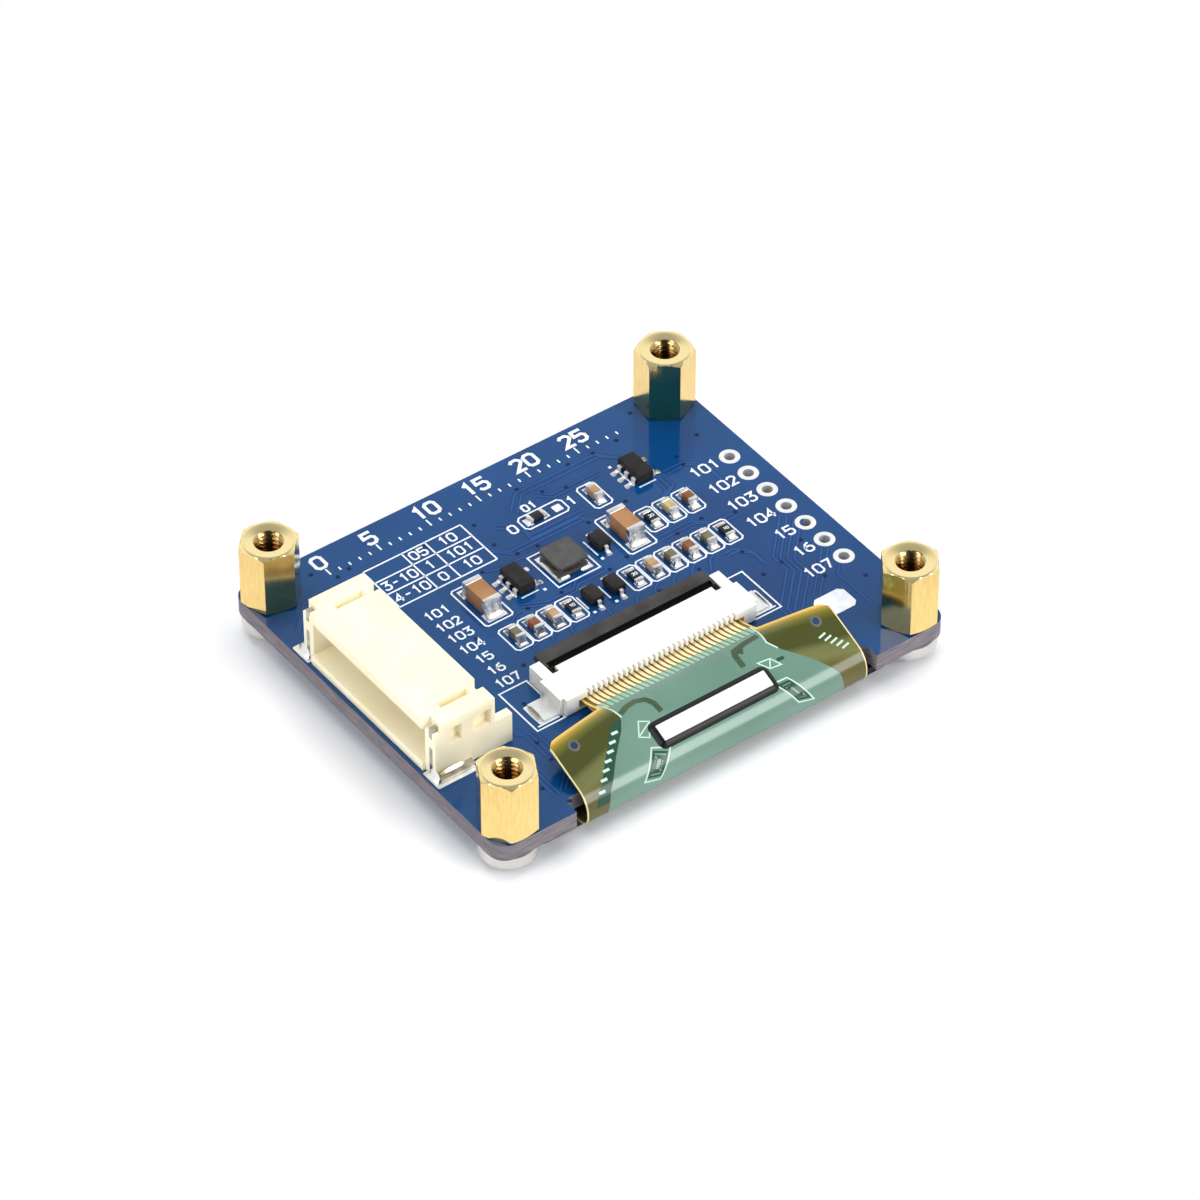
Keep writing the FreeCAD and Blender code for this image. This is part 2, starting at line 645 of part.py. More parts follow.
def ribbon_socket():
    """The low moulded body of the flat-cable connector: a slot with a toothed lip in front, side
    shoulders, and two rear arms that carry the latch's pins."""
    body = new_body("ribbon_socket", ("ribbon_offset", SOCKET_MOUTH, BOARD_TOP))
    half_outline = [
        (SOCKET_NARROW, "0"), (SOCKET_NARROW, "socket_shoulder_start"), (SOCKET_HALF, "socket_shoulder_start"),
        (SOCKET_HALF, "socket_shoulder_end"), (SOCKET_NARROW, "socket_shoulder_end"),
        (SOCKET_NARROW, "socket_arm_end"),
    ]
    outline = half_outline + [("-" + x, y) for x, y in reversed(half_outline)]
    pad(body, "block", new_sketch(body, "outline", "XY_Plane", "socket_lift", loops=[outline]),
        "socket_height - socket_lift")
    recess = rectangle("-" + ARM_INNER, ARM_INNER, "socket_roof_depth", "socket_arm_end")
    pocket(body, "latch_recess", new_sketch(body, "recess", "XY_Plane", "socket_height", loops=[recess]),
           "socket_height - " + SOCKET_FLOOR_TOP)
    slot_half = f"({SOCKET_HALF} - socket_cavity_inset)"
    slot = rectangle("-" + slot_half, slot_half, SOCKET_FLOOR_TOP, SOCKET_FLOOR_TOP + " + socket_cavity")
    pocket(body, "cable_slot", new_sketch(body, "slot", "XZ_Plane", loops=[slot]), "socket_roof_depth",
           forward=False)
    notches = [rectangle(f"{side} * ({ARM_INNER} - socket_notch_width)", f"{side} * {ARM_INNER}",
                         "socket_roof_depth - socket_notch_depth", PIVOT_IN + " + latch_hook_room")
               for side in SIDES.values()]
    pocket(body, "hook_notches", new_sketch(body, "notches", "XY_Plane", "socket_height", loops=notches),
           "socket_height - socket_lift")

    first = "-(ribbon_count - 1) * ribbon_pitch / 2"
    tooth_gap = rectangle(f"{first} - comb_slot / 2", f"{first} + comb_slot / 2", "0", "comb_depth")
    gap = pocket(body, "comb_slot", new_sketch(body, "tooth_gap", "XY_Plane", "socket_height",
                                               loops=[tooth_gap]),
                 f"socket_height - {SOCKET_FLOOR_TOP} - socket_cavity")
    repeat(body, "comb", gap, "X_Axis", "ribbon_count", "ribbon_pitch")
    pin_hole = [(PIVOT_IN, PIVOT_HEIGHT, "trunnion + 2 * trunnion_gap")]
    pocket(body, "pin_holes", new_sketch(body, "pin_hole", "YZ_Plane", circles=pin_hole),
           f"2 * ({ARM_INNER} + trunnion_reach + trunnion_gap)", symmetric=True)
    tab_slots = [rectangle(f"{side} * ({SOCKET_HALF} - tab_sheet)", f"{side} * {SOCKET_HALF}",
                           TAB_START, TAB_START + " + tab_width") for side in SIDES.values()]
    pocket(body, "tab_slots", new_sketch(body, "tab_slot", "XY_Plane", "tab_height", loops=tab_slots),
           "tab_height - socket_lift")


def ribbon_latch():
    """The flip-up latch: a flat plate with a round nose that turns on a pin at each end, and a hook
    beside each pin. It lies down flush with the roof to hold the cable, and stands up to free it."""
    latch = new_body("ribbon_latch", ("ribbon_offset", f"{SOCKET_MOUTH} + {PIVOT_IN}",
                                      f"{BOARD_TOP} + {PIVOT_HEIGHT}"))
    plate = [("0", "latch_cam - latch_plate"), ("latch_reach", "latch_cam - latch_plate"),
             ("latch_reach", "latch_cam"), ("0", "latch_cam")]
    pad(latch, "plate", new_sketch(latch, "plate_section", "YZ_Plane", loops=[plate]), "2 * " + LATCH_HALF,
        symmetric=True)
    nose = [("0", "0", "2 * latch_cam")]
    pad(latch, "nose", new_sketch(latch, "nose_section", "YZ_Plane", circles=nose), "2 * " + LATCH_HALF,
        symmetric=True)
    hook_width = "(socket_notch_width - 2 * latch_side_gap)"
    hook = rectangle("-latch_hook_reach", "0", "-latch_hook_drop", "latch_hook_top")
    for name, lift in (("left", "-" + LATCH_HALF), ("right", f"{LATCH_HALF} - {hook_width}")):
        pad(latch, name + "_hook", new_sketch(latch, name + "_hook_section", "YZ_Plane", lift, loops=[hook]),
            hook_width)
    pins = [("0", "0", "trunnion")]
    pad(latch, "pins", new_sketch(latch, "pin_section", "YZ_Plane", circles=pins),
        f"2 * ({ARM_INNER} + trunnion_reach)", symmetric=True)


def ribbon_contacts():
    """The row of sprung contacts: each lies on the slot's floor with a raised point, hooks round the
    front edge and ends in a tail on the board."""
    row_of = new_body("ribbon_contacts", ("ribbon_offset", SOCKET_MOUTH, BOARD_TOP))
    floor, top = SOCKET_FLOOR_TOP, SOCKET_FLOOR_TOP + " + ribbon_contact_sheet"
    rear = "socket_arm_end - ribbon_contact_rear"
    path = [
        ("-ribbon_contact_riser - ribbon_contact_tail", "0"), ("0", "0"), ("0", floor), (rear, floor),
        (rear, top), ("contact_bump_in + contact_bump_half", top),
        ("contact_bump_in", top + " + contact_bump_rise"), ("contact_bump_in - contact_bump_half", top),
        ("-ribbon_contact_riser", top), ("-ribbon_contact_riser", "ribbon_contact_sheet"),
        ("-ribbon_contact_riser - ribbon_contact_tail", "ribbon_contact_sheet"),
    ]
    start = "-(ribbon_count - 1) * ribbon_pitch / 2 - ribbon_contact_width / 2"
    contact = pad(row_of, "contact", new_sketch(row_of, "path", "YZ_Plane", start, loops=[path]),
                  "ribbon_contact_width")
    repeat(row_of, "contacts", contact, "X_Axis", "ribbon_count", "ribbon_pitch")


def ribbon_tab(name, side):
    """A bent metal tab in the side of the flat-cable connector, with its foot on the board."""
    tab = new_body(f"ribbon_tab_{name}", ("ribbon_offset", f"{SOCKET_MOUTH} + {TAB_START}", BOARD_TOP))
    inner, outer = f"{side} * ({SOCKET_HALF} - tab_sheet)", f"{side} * {SOCKET_HALF}"
    tip = f"{side} * ({SOCKET_HALF} + tab_foot)"
    section = [(inner, "0"), (tip, "0"), (tip, "tab_sheet"), (outer, "tab_sheet"), (outer, "tab_height"),
               (inner, "tab_height")]
    tab_sketch = new_sketch(tab, "section", "XZ_Plane", "-tab_width", loops=[section])
    pad(tab, "tab", tab_sketch, "tab_width")


def flex_route():
    """Corners and bends of the flexible circuit's middle line, deep and up, from inside the connector
    over a low crest, through the board's notch and under to the glass ledge."""
    board_top = size("polariser_thickness") + size("front_glass_thickness") + size("rear_glass_thickness")
    board_top += size("tape_thickness") + size("board_thickness")
    mouth = size("socket_inset") - size("board_depth") / 2
    half = size("flex_thickness") / 2
    fold = size("flex_fold_inset") + half - size("board_depth") / 2
    ledge = size("polariser_thickness") + size("front_glass_thickness") + half
    level = board_top + size("flex_entry_height")
    corners = [
        (mouth + size("flex_entry"), level),
        (mouth - size("flex_rise_from_mouth"), level),
        (mouth - size("flex_crest_from_mouth"), board_top + size("flex_crest_height")),
        (fold, board_top + size("flex_fold_height")),
        (fold, ledge),
        (size("panel_end_margin") - size("board_depth") / 2 + size("flex_bond"), ledge),
    ]
    bends = [size(f"flex_{place}_bend") for place in ("rise", "crest", "fold", "under")]
    return [FreeCAD.Vector(0, deep, up) for deep, up in corners], bends


def sheet_face(corners, bends, aside):
    """One face of a bent sheet: straight runs joined by arcs, moved aside from the middle line."""
    normal = FreeCAD.Vector(1, 0, 0)
    edges = []
    ahead = (corners[1] - corners[0]).normalize()
    here = corners[0] + normal.cross(ahead) * aside
    for corner, after, bend in zip(corners[1:], corners[2:], bends):
        following = (after - corner).normalize()
        bisector = (following - ahead).normalize()
        half_turn = ahead.getAngle(following) / 2
        centre = corner + bisector * (bend / math.cos(half_turn))
        side = -1 if normal.cross(ahead).dot(bisector) > 0 else 1
        radius = bend + side * aside
        start = centre - normal.cross(ahead) * side * -radius
        middle = centre - bisector * radius
        end = centre - normal.cross(following) * side * -radius
        edges += [Part.makeLine(here, start), Part.Arc(start, middle, end).toShape()]
        here, ahead = end, following
    edges.append(Part.makeLine(here, corners[-1] + normal.cross(ahead) * aside))
    return edges


def display_flex():
    """The panel's flexible circuit, one folded sheet: a straight neck into the connector, a wing with a
    pinhole on each side, and a fold down through the notch to the glass."""
    corners, bends = flex_route()
    half = size("flex_thickness") / 2
    upper, lower = sheet_face(corners, bends, half), sheet_face(corners, bends, -half)
    ends = [Part.makeLine(upper[number].Vertexes[number].Point, lower[number].Vertexes[number].Point)
            for number in (0, -1)]
    section = Part.Face(Part.Wire(Part.__sortEdges__(upper + lower + ends)))
    width = size("flex_width")
    strip = section.extrude(FreeCAD.Vector(width, 0, 0)).translated(FreeCAD.Vector(-width / 2, 0, 0))

    neck, wide = size("flex_neck") / 2, width / 2
    mouth = size("socket_inset") - size("board_depth") / 2
    wing = mouth - size("wing_start")
    shoulder = wing - size("wing_drop")
    outline = [(neck, 0), (neck, wing), (wide - size("wing_tip_inset"), shoulder),
               (wide, shoulder - size("wing_tip_drop")), (wide, -size("board_depth"))]
    outline += [(-x, y) for x, y in reversed(outline)]
    rim = Part.makePolygon([FreeCAD.Vector(x, y, 0) for x, y in outline + outline[:1]])
    plan = Part.Face(rim).extrude(FreeCAD.Vector(0, 0, size("board_depth")))
    soft = [edge for edge in plan.Edges if upright(edge.Vertexes[0].Point, edge.Vertexes[-1].Point)
            and -size("board_depth") < edge.Vertexes[0].Point.y < 0]
    plan = plan.makeFillet(size("wing_round"), soft)
    sheet_shape = strip.common(plan)
    for side in SIDES.values():
        middle = FreeCAD.Vector(side * (wide - size("wing_hole_inset")), mouth - size("wing_hole_from_mouth"),
                                corners[0].z - size("flex_crest_height"))
        sheet_shape = sheet_shape.cut(Part.makeCylinder(size("wing_hole") / 2, size("board_depth"), middle))
    piece = document.addObject("Part::Feature", "display_flex")
    piece.Label = "display_flex"
    piece.Shape = sheet_shape
    piece.Placement = FreeCAD.Placement(FreeCAD.Vector(size("ribbon_offset"), 0, 0), FreeCAD.Rotation())


def driver_chip():
    """The bare chip bonded on the flexible circuit's slope, and the black resin that seals its edge."""
    drop = "(flex_crest_height - flex_fold_height)"
    crest = f"({SOCKET_MOUTH} - flex_crest_from_mouth)"
    fold = "(flex_fold_inset + flex_thickness / 2 - board_depth / 2)"
    slope = f"atan({drop} / ({crest} - {fold}))"
    face = f"flex_thickness / (2 * cos({slope}))"
    fall = f"(chip_from_mouth - flex_crest_from_mouth) * tan({slope})"
    place = ("ribbon_offset", f"{SOCKET_MOUTH} - chip_from_mouth",
             f"{BOARD_TOP} + flex_crest_height - {fall} + {face}")
    turn = (FreeCAD.Vector(1, 0, 0), slope)
    across, deep = "chip_across / 2", "chip_deep / 2"
    inner = rectangle("-" + across, across, "-" + deep, deep)
    chip = new_body("driver_chip", place, turn)
    pad(chip, "die", new_sketch(chip, "outline", "XY_Plane", loops=[inner]), "chip_thickness")
    outer = rectangle(f"-{across} - resin_margin", f"{across} + resin_margin",
                      f"-{deep} - resin_margin", f"{deep} + resin_margin")
    resin = new_body("chip_resin", place, turn)
    pad(resin, "fillet", new_sketch(resin, "rim", "XY_Plane", loops=[outer, inner]), "resin_height")


def chip_part(label, kind, x, y, turn="0"):
    """A chip capacitor or resistor: a plain bar whose two end bands stand slightly proud of it."""
    chip = new_body(label, (x, y, BOARD_TOP), (FreeCAD.Vector(0, 0, 1), turn))
    across, along = f"{kind}_across / 2", f"{kind}_along / 2"
    bar = rectangle(f"-{across} + band_proud", f"{across} - band_proud",
                    f"-{along} + band_proud", f"{along} - band_proud")
    pad(chip, "bar", new_sketch(chip, "bar_outline", "XY_Plane", "band_proud", loops=[bar]),
        f"{kind}_height - 2 * band_proud")
    bands = [rectangle("-" + across, across, f"{end} * ({along} - {kind}_band)", f"{end} * {along}")
             for end in ENDS.values()]
    pad(chip, "end_bands", new_sketch(chip, "band_outlines", "XY_Plane", loops=bands), f"{kind}_height")


def moulded_case(label, kind, x, y):
    """A moulded case with drafted sides that are widest where its leads come out."""
    case = new_body(label, (x, y, BOARD_TOP))
    outline = rectangle(f"-{kind}_across / 2", f"{kind}_across / 2", f"-{kind}_along / 2", f"{kind}_along / 2")
    pad(case, "upper_half", new_sketch(case, "upper_outline", "XY_Plane", "lead_height", loops=[outline]),
        f"{kind}_height - lead_height", draft="-moulding_draft")
    lower = pad(case, "lower_half",
                new_sketch(case, "lower_outline", "XY_Plane", "lead_height", loops=[outline]),
                "lead_height - lead_sheet", draft="-moulding_draft")
    lower.Reversed = True


def lead_path(way, edge):
    """A bent lead from the case's edge down to its foot, outwards one way."""
    knee, heel = f"{edge} + lead_drop_reach - lead_sheet", f"{edge} + lead_drop_reach"
    toe = f"{heel} + lead_foot"
    low, high = "lead_height - lead_sheet / 2", "lead_height + lead_sheet / 2"
    corners = [(edge, low), (knee, low), (knee, "0"), (toe, "0"), (toe, "lead_sheet"),
               (heel, "lead_sheet"), (heel, high), (edge, high)]
    return [(f"{way} * ({out})", up) for out, up in corners]


def diode(label, x, y):
    """A small two-lead diode that lies front to back."""
    moulded_case(label + "_case", "diode", x, y)
    leads = new_body(label + "_leads", (x, y, BOARD_TOP))
    loops = [lead_path(end, "diode_along / 2") for end in ENDS.values()]
    pad(leads, "leads", new_sketch(leads, "paths", "YZ_Plane", loops=loops), "diode_lead", symmetric=True)


def regulator(label, x, y):
    """A small five-lead regulator: three leads on its left side, two on its right."""
    moulded_case(label + "_case", "regulator", x, y)
    leads = new_body(label + "_leads", (x, y, BOARD_TOP))
    for name, side, count, pitch in (("left", -1, 3, "regulator_pitch"), ("right", 1, 2, "2 * regulator_pitch")):
        paths = new_sketch(leads, name + "_path", "XZ_Plane", "regulator_pitch - regulator_lead / 2",
                           loops=[lead_path(side, "regulator_across / 2")])
        lead = pad(leads, name + "_lead", paths, "regulator_lead")
        repeat(leads, name + "_leads", lead, "Y_Axis", str(count), pitch)


def inductor():
    """A small shielded inductor: a ferrite drum with square flanges, and its coil between them."""
    place = ("inductor_x", "inductor_y", BOARD_TOP)
    core = new_body("inductor_core", place)
    half, cut = "inductor_side / 2", "(inductor_side / 2 - inductor_corner)"
    outline = [(half, "-" + cut), (half, cut), (cut, half), ("-" + cut, half), ("-" + half, cut),
               ("-" + half, "-" + cut), ("-" + cut, "-" + half), (cut, "-" + half)]
    pad(core, "block", new_sketch(core, "outline", "XY_Plane", loops=[outline]), "inductor_height")
    low, high = "inductor_flange", "inductor_height - inductor_flange"
    waist = rectangle("inductor_post / 2", "inductor_side", low, high)
    turned(core, "Groove", "waist", new_sketch(core, "waist_section", "XZ_Plane", loops=[waist]))
    coil = new_body("inductor_winding", place)
    ring = rectangle("inductor_post / 2 + winding_gap", "winding_across / 2", low, high)
    turned(coil, "Revolution", "coil", new_sketch(coil, "coil_section", "XZ_Plane", loops=[ring]))


def small_parts():
    """The rows of small parts. The front row is set out slot by slot from its left end."""
    across = "front_row_start"
    previous = None
    for label in FRONT_ROW:
        kind = label.split("_")[0]
        slot = "diode_slot" if kind == "diode" else "chip_slot"
        if previous is not None:
            across += f" + ({previous} + {slot}) / 2"
        previous = slot
        if kind == "diode":
            diode(label, across, "front_row_line")
        else:
            chip_part(label, kind, across, "front_row_line")
    for label in PLACES:
        kind = label.split("_")[0]
        x, y = label + "_x", label + "_y"
        if kind == "diode":
            diode(label, x, y)
        elif kind == "regulator":
            regulator(label, x, y)
        elif kind == "inductor":
            inductor()
        else:
            chip_part(label, kind, x, y, "90" if label == "resistor_5" else "0")


def fastened_corners():
    """A standoff on the board and a screw below it at each of the four screw holes."""
    for (end_name, side_name), turn in STANDOFF_TURNS.items():
        x = f"{SIDES[side_name]} * {BOLT_ACROSS}"
        y = f"{ENDS[end_name]} * {BOLT_DEEP}"
        standoff(f"standoff_{end_name}_{side_name}", x, y, turn)
        screw(f"screw_{end_name}_{side_name}", x, y)


def connectors():
    """The wire connector and the flat-cable connector with all their pieces."""
    wire_housing()
    for number in range(1, int(size("wire_count")) + 1):
        wire_contact(number)
    ribbon_socket()
    ribbon_latch()
    ribbon_contacts()
    for name, side in SIDES.items():
        hold_down(name, side)
        ribbon_tab(name, side)


def check_features():
    """Stop if a feature failed, or if a cut took nothing away."""
    for item in document.Objects:
        if "Invalid" in item.State or "Error" in item.State:
            raise RuntimeError(f"{item.Name} failed")
        if item.TypeId in ("PartDesign::Pocket", "PartDesign::Groove"):
            if not item.Shape.Volume < item.BaseFeature.Shape.Volume:
                raise RuntimeError(f"{item.Name} cuts nothing")


def write_pieces():
    """Write each piece's solids to a file that bears its label."""
    os.makedirs("parts", exist_ok=True)
    pieces = [item for item in document.Objects
              if item.TypeId in ("PartDesign::Body", "Part::Box", "Part::Feature")]
    for piece in pieces:
        if piece.Shape.isNull() or not piece.Shape.isValid() or not piece.Shape.Solids:
            raise RuntimeError(f"{piece.Label} has no sound solid")
    for piece in pieces:
        piece.Shape.exportStep(f"parts/{piece.Label}.step")
    print(len(pieces), "pieces")


circuit_board()
display_panel()
fastened_corners()
connectors()
display_flex()
driver_chip()
small_parts()
document.recompute()
check_features()
write_pieces()
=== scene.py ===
import math

import bmesh
import bpy
from mathutils import Matrix, Vector


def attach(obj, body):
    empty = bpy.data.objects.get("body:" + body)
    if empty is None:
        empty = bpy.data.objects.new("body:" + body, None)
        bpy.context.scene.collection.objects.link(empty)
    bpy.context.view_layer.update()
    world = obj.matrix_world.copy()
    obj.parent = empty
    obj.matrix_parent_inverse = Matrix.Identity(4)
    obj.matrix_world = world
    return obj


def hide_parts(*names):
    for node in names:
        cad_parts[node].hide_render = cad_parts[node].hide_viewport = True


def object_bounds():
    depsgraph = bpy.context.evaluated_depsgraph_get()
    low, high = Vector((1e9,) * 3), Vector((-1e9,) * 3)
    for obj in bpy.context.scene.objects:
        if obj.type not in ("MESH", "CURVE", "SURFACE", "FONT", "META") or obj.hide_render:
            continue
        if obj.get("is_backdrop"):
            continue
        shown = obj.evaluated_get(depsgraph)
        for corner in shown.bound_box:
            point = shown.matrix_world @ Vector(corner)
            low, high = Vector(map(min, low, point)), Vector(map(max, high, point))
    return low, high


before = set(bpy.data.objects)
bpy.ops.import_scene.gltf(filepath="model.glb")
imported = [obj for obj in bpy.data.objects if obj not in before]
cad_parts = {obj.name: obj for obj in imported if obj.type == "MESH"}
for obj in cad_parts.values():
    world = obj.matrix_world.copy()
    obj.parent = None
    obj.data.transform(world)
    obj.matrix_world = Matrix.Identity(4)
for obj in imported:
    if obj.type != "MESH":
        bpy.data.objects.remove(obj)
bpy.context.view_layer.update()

# The photographer's table.
# A white sheet under the module, broad soft lamps above and beside it, and a long lens that looks down
# from the front left. None of it is part of the module. Lengths in this script are millimetres.
MM = 0.001
CAMERA_PLACE = (-219.049, -296.004, 342.759)
CAMERA_VIEW = (0.43936, 0.59072, -0.67677)
CAMERA_LENS, SENSOR_WIDE = 186.55, 36.0
CAMERA_NEAR, CAMERA_FAR = 10, 10000
FLOOR_HALF, FLOOR_LEVEL = 2000, -0.02
PAPER_COLOUR, PAPER_ROUGH, PAPER_GLOSS = (0.90, 0.90, 0.91, 1), 0.9, 0.1
SHADOW_HALF, SHADOW_REACH = (23, 19), 14
LAMPS = {
    "overhead": ((60, 120, 520), 560, 2.35),
    "left": ((-560, 20, 330), 420, 1.7),
    "front": ((230, -510, 260), 380, 2.6),
}
ROOM_COLOUR, ROOM_STRENGTH = (0.86, 0.90, 0.96, 1), 0.42
WALL_COLOUR, CEILING_COLOUR, CEILING_SPAN = (1, 1, 1, 1), (0.44, 0.45, 0.48, 1), (0.60, 0.92)
DARK_END_COLOUR, DARK_END_SPAN = (0.05, 0.06, 0.08, 1), (0.84, 0.95)


def node(tree, kind, *inputs, out=0, **settings):
    """One output of a new node, fed in order by values or sockets. None leaves an input as it is."""
    made = tree.nodes.new(kind)
    for setting, value in settings.items():
        setattr(made, setting, value)
    for socket, value in zip(made.inputs, inputs):
        if isinstance(value, bpy.types.NodeSocket):
            tree.links.new(value, socket)
        elif value is not None:
            socket.default_value = value
    return made.outputs[out]


def maths(tree, operation, *inputs):
    """A sum on one to three numbers."""
    return node(tree, "ShaderNodeMath", *inputs, operation=operation)


def span(tree, value, start, end, low=0.0, high=1.0, soft=False):
    """A number from low to high for how far a value is on its way from start to end."""
    return node(tree, "ShaderNodeMapRange", value, start, end, low, high,
                interpolation_type="SMOOTHSTEP" if soft else "LINEAR")


def mixed(tree, share, first, second, blend_type="MIX"):
    """Two colours mixed by a share of the second."""
    return node(tree, "ShaderNodeMix", share, None, None, None, None, None, first, second, out=2,
                data_type="RGBA", blend_type=blend_type)


def coordinate(tree, axis, kind="Object"):
    """How far along one axis a point lies."""
    return node(tree, "ShaderNodeSeparateXYZ", node(tree, "ShaderNodeTexCoord", out=kind), out=axis)


def seen_directly(tree):
    """1 for rays that see a surface as the camera, gloss or glass shows it, and 0 for rays that light it."""
    camera_ray, gloss_ray, glass_ray = (node(tree, "ShaderNodeLightPath", out=f"Is {kind} Ray")
                                        for kind in ("Camera", "Glossy", "Transmission"))
    return maths(tree, "MAXIMUM", maths(tree, "MAXIMUM", camera_ray, gloss_ray), glass_ray)


def stand(name, data):
    """An object that holds the data, stood in the scene."""
    made = bpy.data.objects.new(name, data)
    bpy.context.scene.collection.objects.link(made)
    return made


def mesh_of(name, points, faces=()):
    """A mesh from points in millimetres and faces."""
    mesh = bpy.data.meshes.new(name)
    mesh.from_pydata([Vector(point) * MM for point in points], [], faces)
    return mesh


camera_data = bpy.data.cameras.new("camera")
camera_data.lens = CAMERA_LENS
camera_data.sensor_width = SENSOR_WIDE
camera_data.clip_start = CAMERA_NEAR * MM
camera_data.clip_end = CAMERA_FAR * MM
camera = stand("camera", camera_data)
camera.location = Vector(CAMERA_PLACE) * MM
camera.rotation_euler = Vector(CAMERA_VIEW).to_track_quat("-Z", "Y").to_euler()
bpy.context.scene.camera = camera
bpy.context.scene.view_settings.view_transform = "Standard"

for lamp_name, (lamp_place, side, power) in LAMPS.items():
    lamp_data = bpy.data.lights.new(lamp_name, "AREA")
    lamp_data.size = side * MM
    lamp_data.energy = power
    lamp = stand(lamp_name, lamp_data)
    lamp.location = Vector(lamp_place) * MM
    lamp.rotation_euler = (-Vector(lamp_place)).to_track_quat("-Z", "Y").to_euler()
    lamp.visible_glossy = lamp_name != "overhead"

# The room's walls look white and its ceiling grey, with a dark end behind the camera for gloss to show.
room = bpy.data.worlds.new("room")
room.use_nodes = True
tree = room.node_tree
shaded = tree.nodes["Background"]
shaded.inputs["Color"].default_value = ROOM_COLOUR
shaded.inputs["Strength"].default_value = ROOM_STRENGTH
ceiling = span(tree, coordinate(tree, 2, "Generated"), *CEILING_SPAN, soft=True)
way = node(tree, "ShaderNodeTexCoord", out="Generated")
towards_camera = node(tree, "ShaderNodeVectorMath", way, -Vector(CAMERA_VIEW), out="Value",
                      operation="DOT_PRODUCT")
dark_end = maths(tree, "MULTIPLY", span(tree, towards_camera, *DARK_END_SPAN, soft=True),
                 node(tree, "ShaderNodeLightPath", out="Is Glossy Ray"))
walls = mixed(tree, dark_end, mixed(tree, ceiling, WALL_COLOUR, CEILING_COLOUR), DARK_END_COLOUR)
room_mix = node(tree, "ShaderNodeMixShader", seen_directly(tree), shaded.outputs[0],
                node(tree, "ShaderNodeBackground", walls))
tree.links.new(room_mix, tree.nodes["World Output"].inputs["Surface"])
bpy.context.scene.world = room

# The sheet takes the module's shadow, and past the shadow it looks plain white.
corners = [(x * FLOOR_HALF, y * FLOOR_HALF, 0) for x, y in ((-1, -1), (1, -1), (1, 1), (-1, 1))]
floor = stand("floor", mesh_of("floor", corners, [(0, 1, 2, 3)]))
floor.location.z = FLOOR_LEVEL * MM
sheet = bpy.data.materials.new("floor_sheet")
sheet.use_nodes = True
tree = sheet.node_tree
paper = tree.nodes["Principled BSDF"]
paper.inputs["Base Color"].default_value = PAPER_COLOUR
paper.inputs["Roughness"].default_value = PAPER_ROUGH
paper.inputs["Specular IOR Level"].default_value = PAPER_GLOSS
beyond = []
for axis, half in enumerate(SHADOW_HALF):
    past = maths(tree, "SUBTRACT", maths(tree, "ABSOLUTE", coordinate(tree, axis)), half * MM)
    beyond.append(maths(tree, "POWER", maths(tree, "MAXIMUM", past, 0), 2))
away = maths(tree, "SQRT", maths(tree, "ADD", *beyond))
bare = maths(tree, "MULTIPLY", span(tree, away, 0.0, SHADOW_REACH * MM, soft=True), seen_directly(tree))
floor_mix = node(tree, "ShaderNodeMixShader", bare, paper.outputs[0], node(tree, "ShaderNodeEmission"))
tree.links.new(floor_mix, tree.nodes["Material Output"].inputs["Surface"])
floor.data.materials.append(sheet)
floor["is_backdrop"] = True

# Circuit board.
# Woven glass laminate, blue gloss mask over copper on both faces, cut edges left bare, plated holes. The
# copper lines, the vias' flat dark discs and the white print are thin layers on the mask, as the lines and
# print are on the real board; the discs' darkness is painted shade for the vias' dimples.
BOARD_TOP, BOARD_BOTTOM = 3.7, 2.1
BOARD_MIDDLE, BOARD_HALF = (BOARD_TOP + BOARD_BOTTOM) / 2, (BOARD_TOP - BOARD_BOTTOM) / 2
LAYERS = {"gap": 0.006, "copper": 0.012, "via": 0.016, "pad": 0.022, "ink": 0.030}
SHARP_ANGLE, FLAT_ANGLE, FACE_UP = math.radians(28), math.radians(0.5), 0.9
JOIN_DISTANCE, GRAIN_DEEP, MITRE_LEAST = 0.001, 0.01, 0.4
PATCH_SPAN, PATCH_DETAIL, GRAIN_DETAIL = (0.32, 0.68), 3, 4


def srgb(red, green, blue):
    """A colour as it is read off a screen, for a shader."""
    steps = [level / 255 for level in (red, green, blue)]
    return (*[step / 12.92 if step <= 0.04045 else ((step + 0.055) / 1.055) ** 2.4 for step in steps], 1)


def blend_group():
    """Two colours worked together in soft patches, with the roughness and fine relief that go with them."""
    group = bpy.data.node_groups.new("worked_surface", "ShaderNodeTree")
    for way, kind, names in (("INPUT", "Color", ("First", "Second")),
                             ("INPUT", "Float", ("Patch scale", "Grain scale", "Roughness", "Spread")),
                             ("INPUT", "Vector", ("Stretch",)), ("OUTPUT", "Color", ("Colour",)),
                             ("OUTPUT", "Float", ("Rough", "Height"))):
        for name in names:
            group.interface.new_socket(name, in_out=way, socket_type="NodeSocket" + kind)
    given = group.nodes.new("NodeGroupInput").outputs
    stretched = node(group, "ShaderNodeVectorMath", node(group, "ShaderNodeTexCoord", out="Object"),
                     given["Stretch"], operation="MULTIPLY")
    patches = node(group, "ShaderNodeTexNoise", stretched, None, given["Patch scale"], PATCH_DETAIL)
    grain = node(group, "ShaderNodeTexNoise", stretched, None, given["Grain scale"], GRAIN_DETAIL)
    colour = mixed(group, span(group, patches, *PATCH_SPAN), given["First"], given["Second"])
    rough = maths(group, "MULTIPLY_ADD", grain, given["Spread"], given["Roughness"])
    result = group.nodes.new("NodeGroupOutput")
    for value, socket in zip((colour, rough, grain), result.inputs):
        group.links.new(value, socket)
    return group


worked_surface = blend_group()


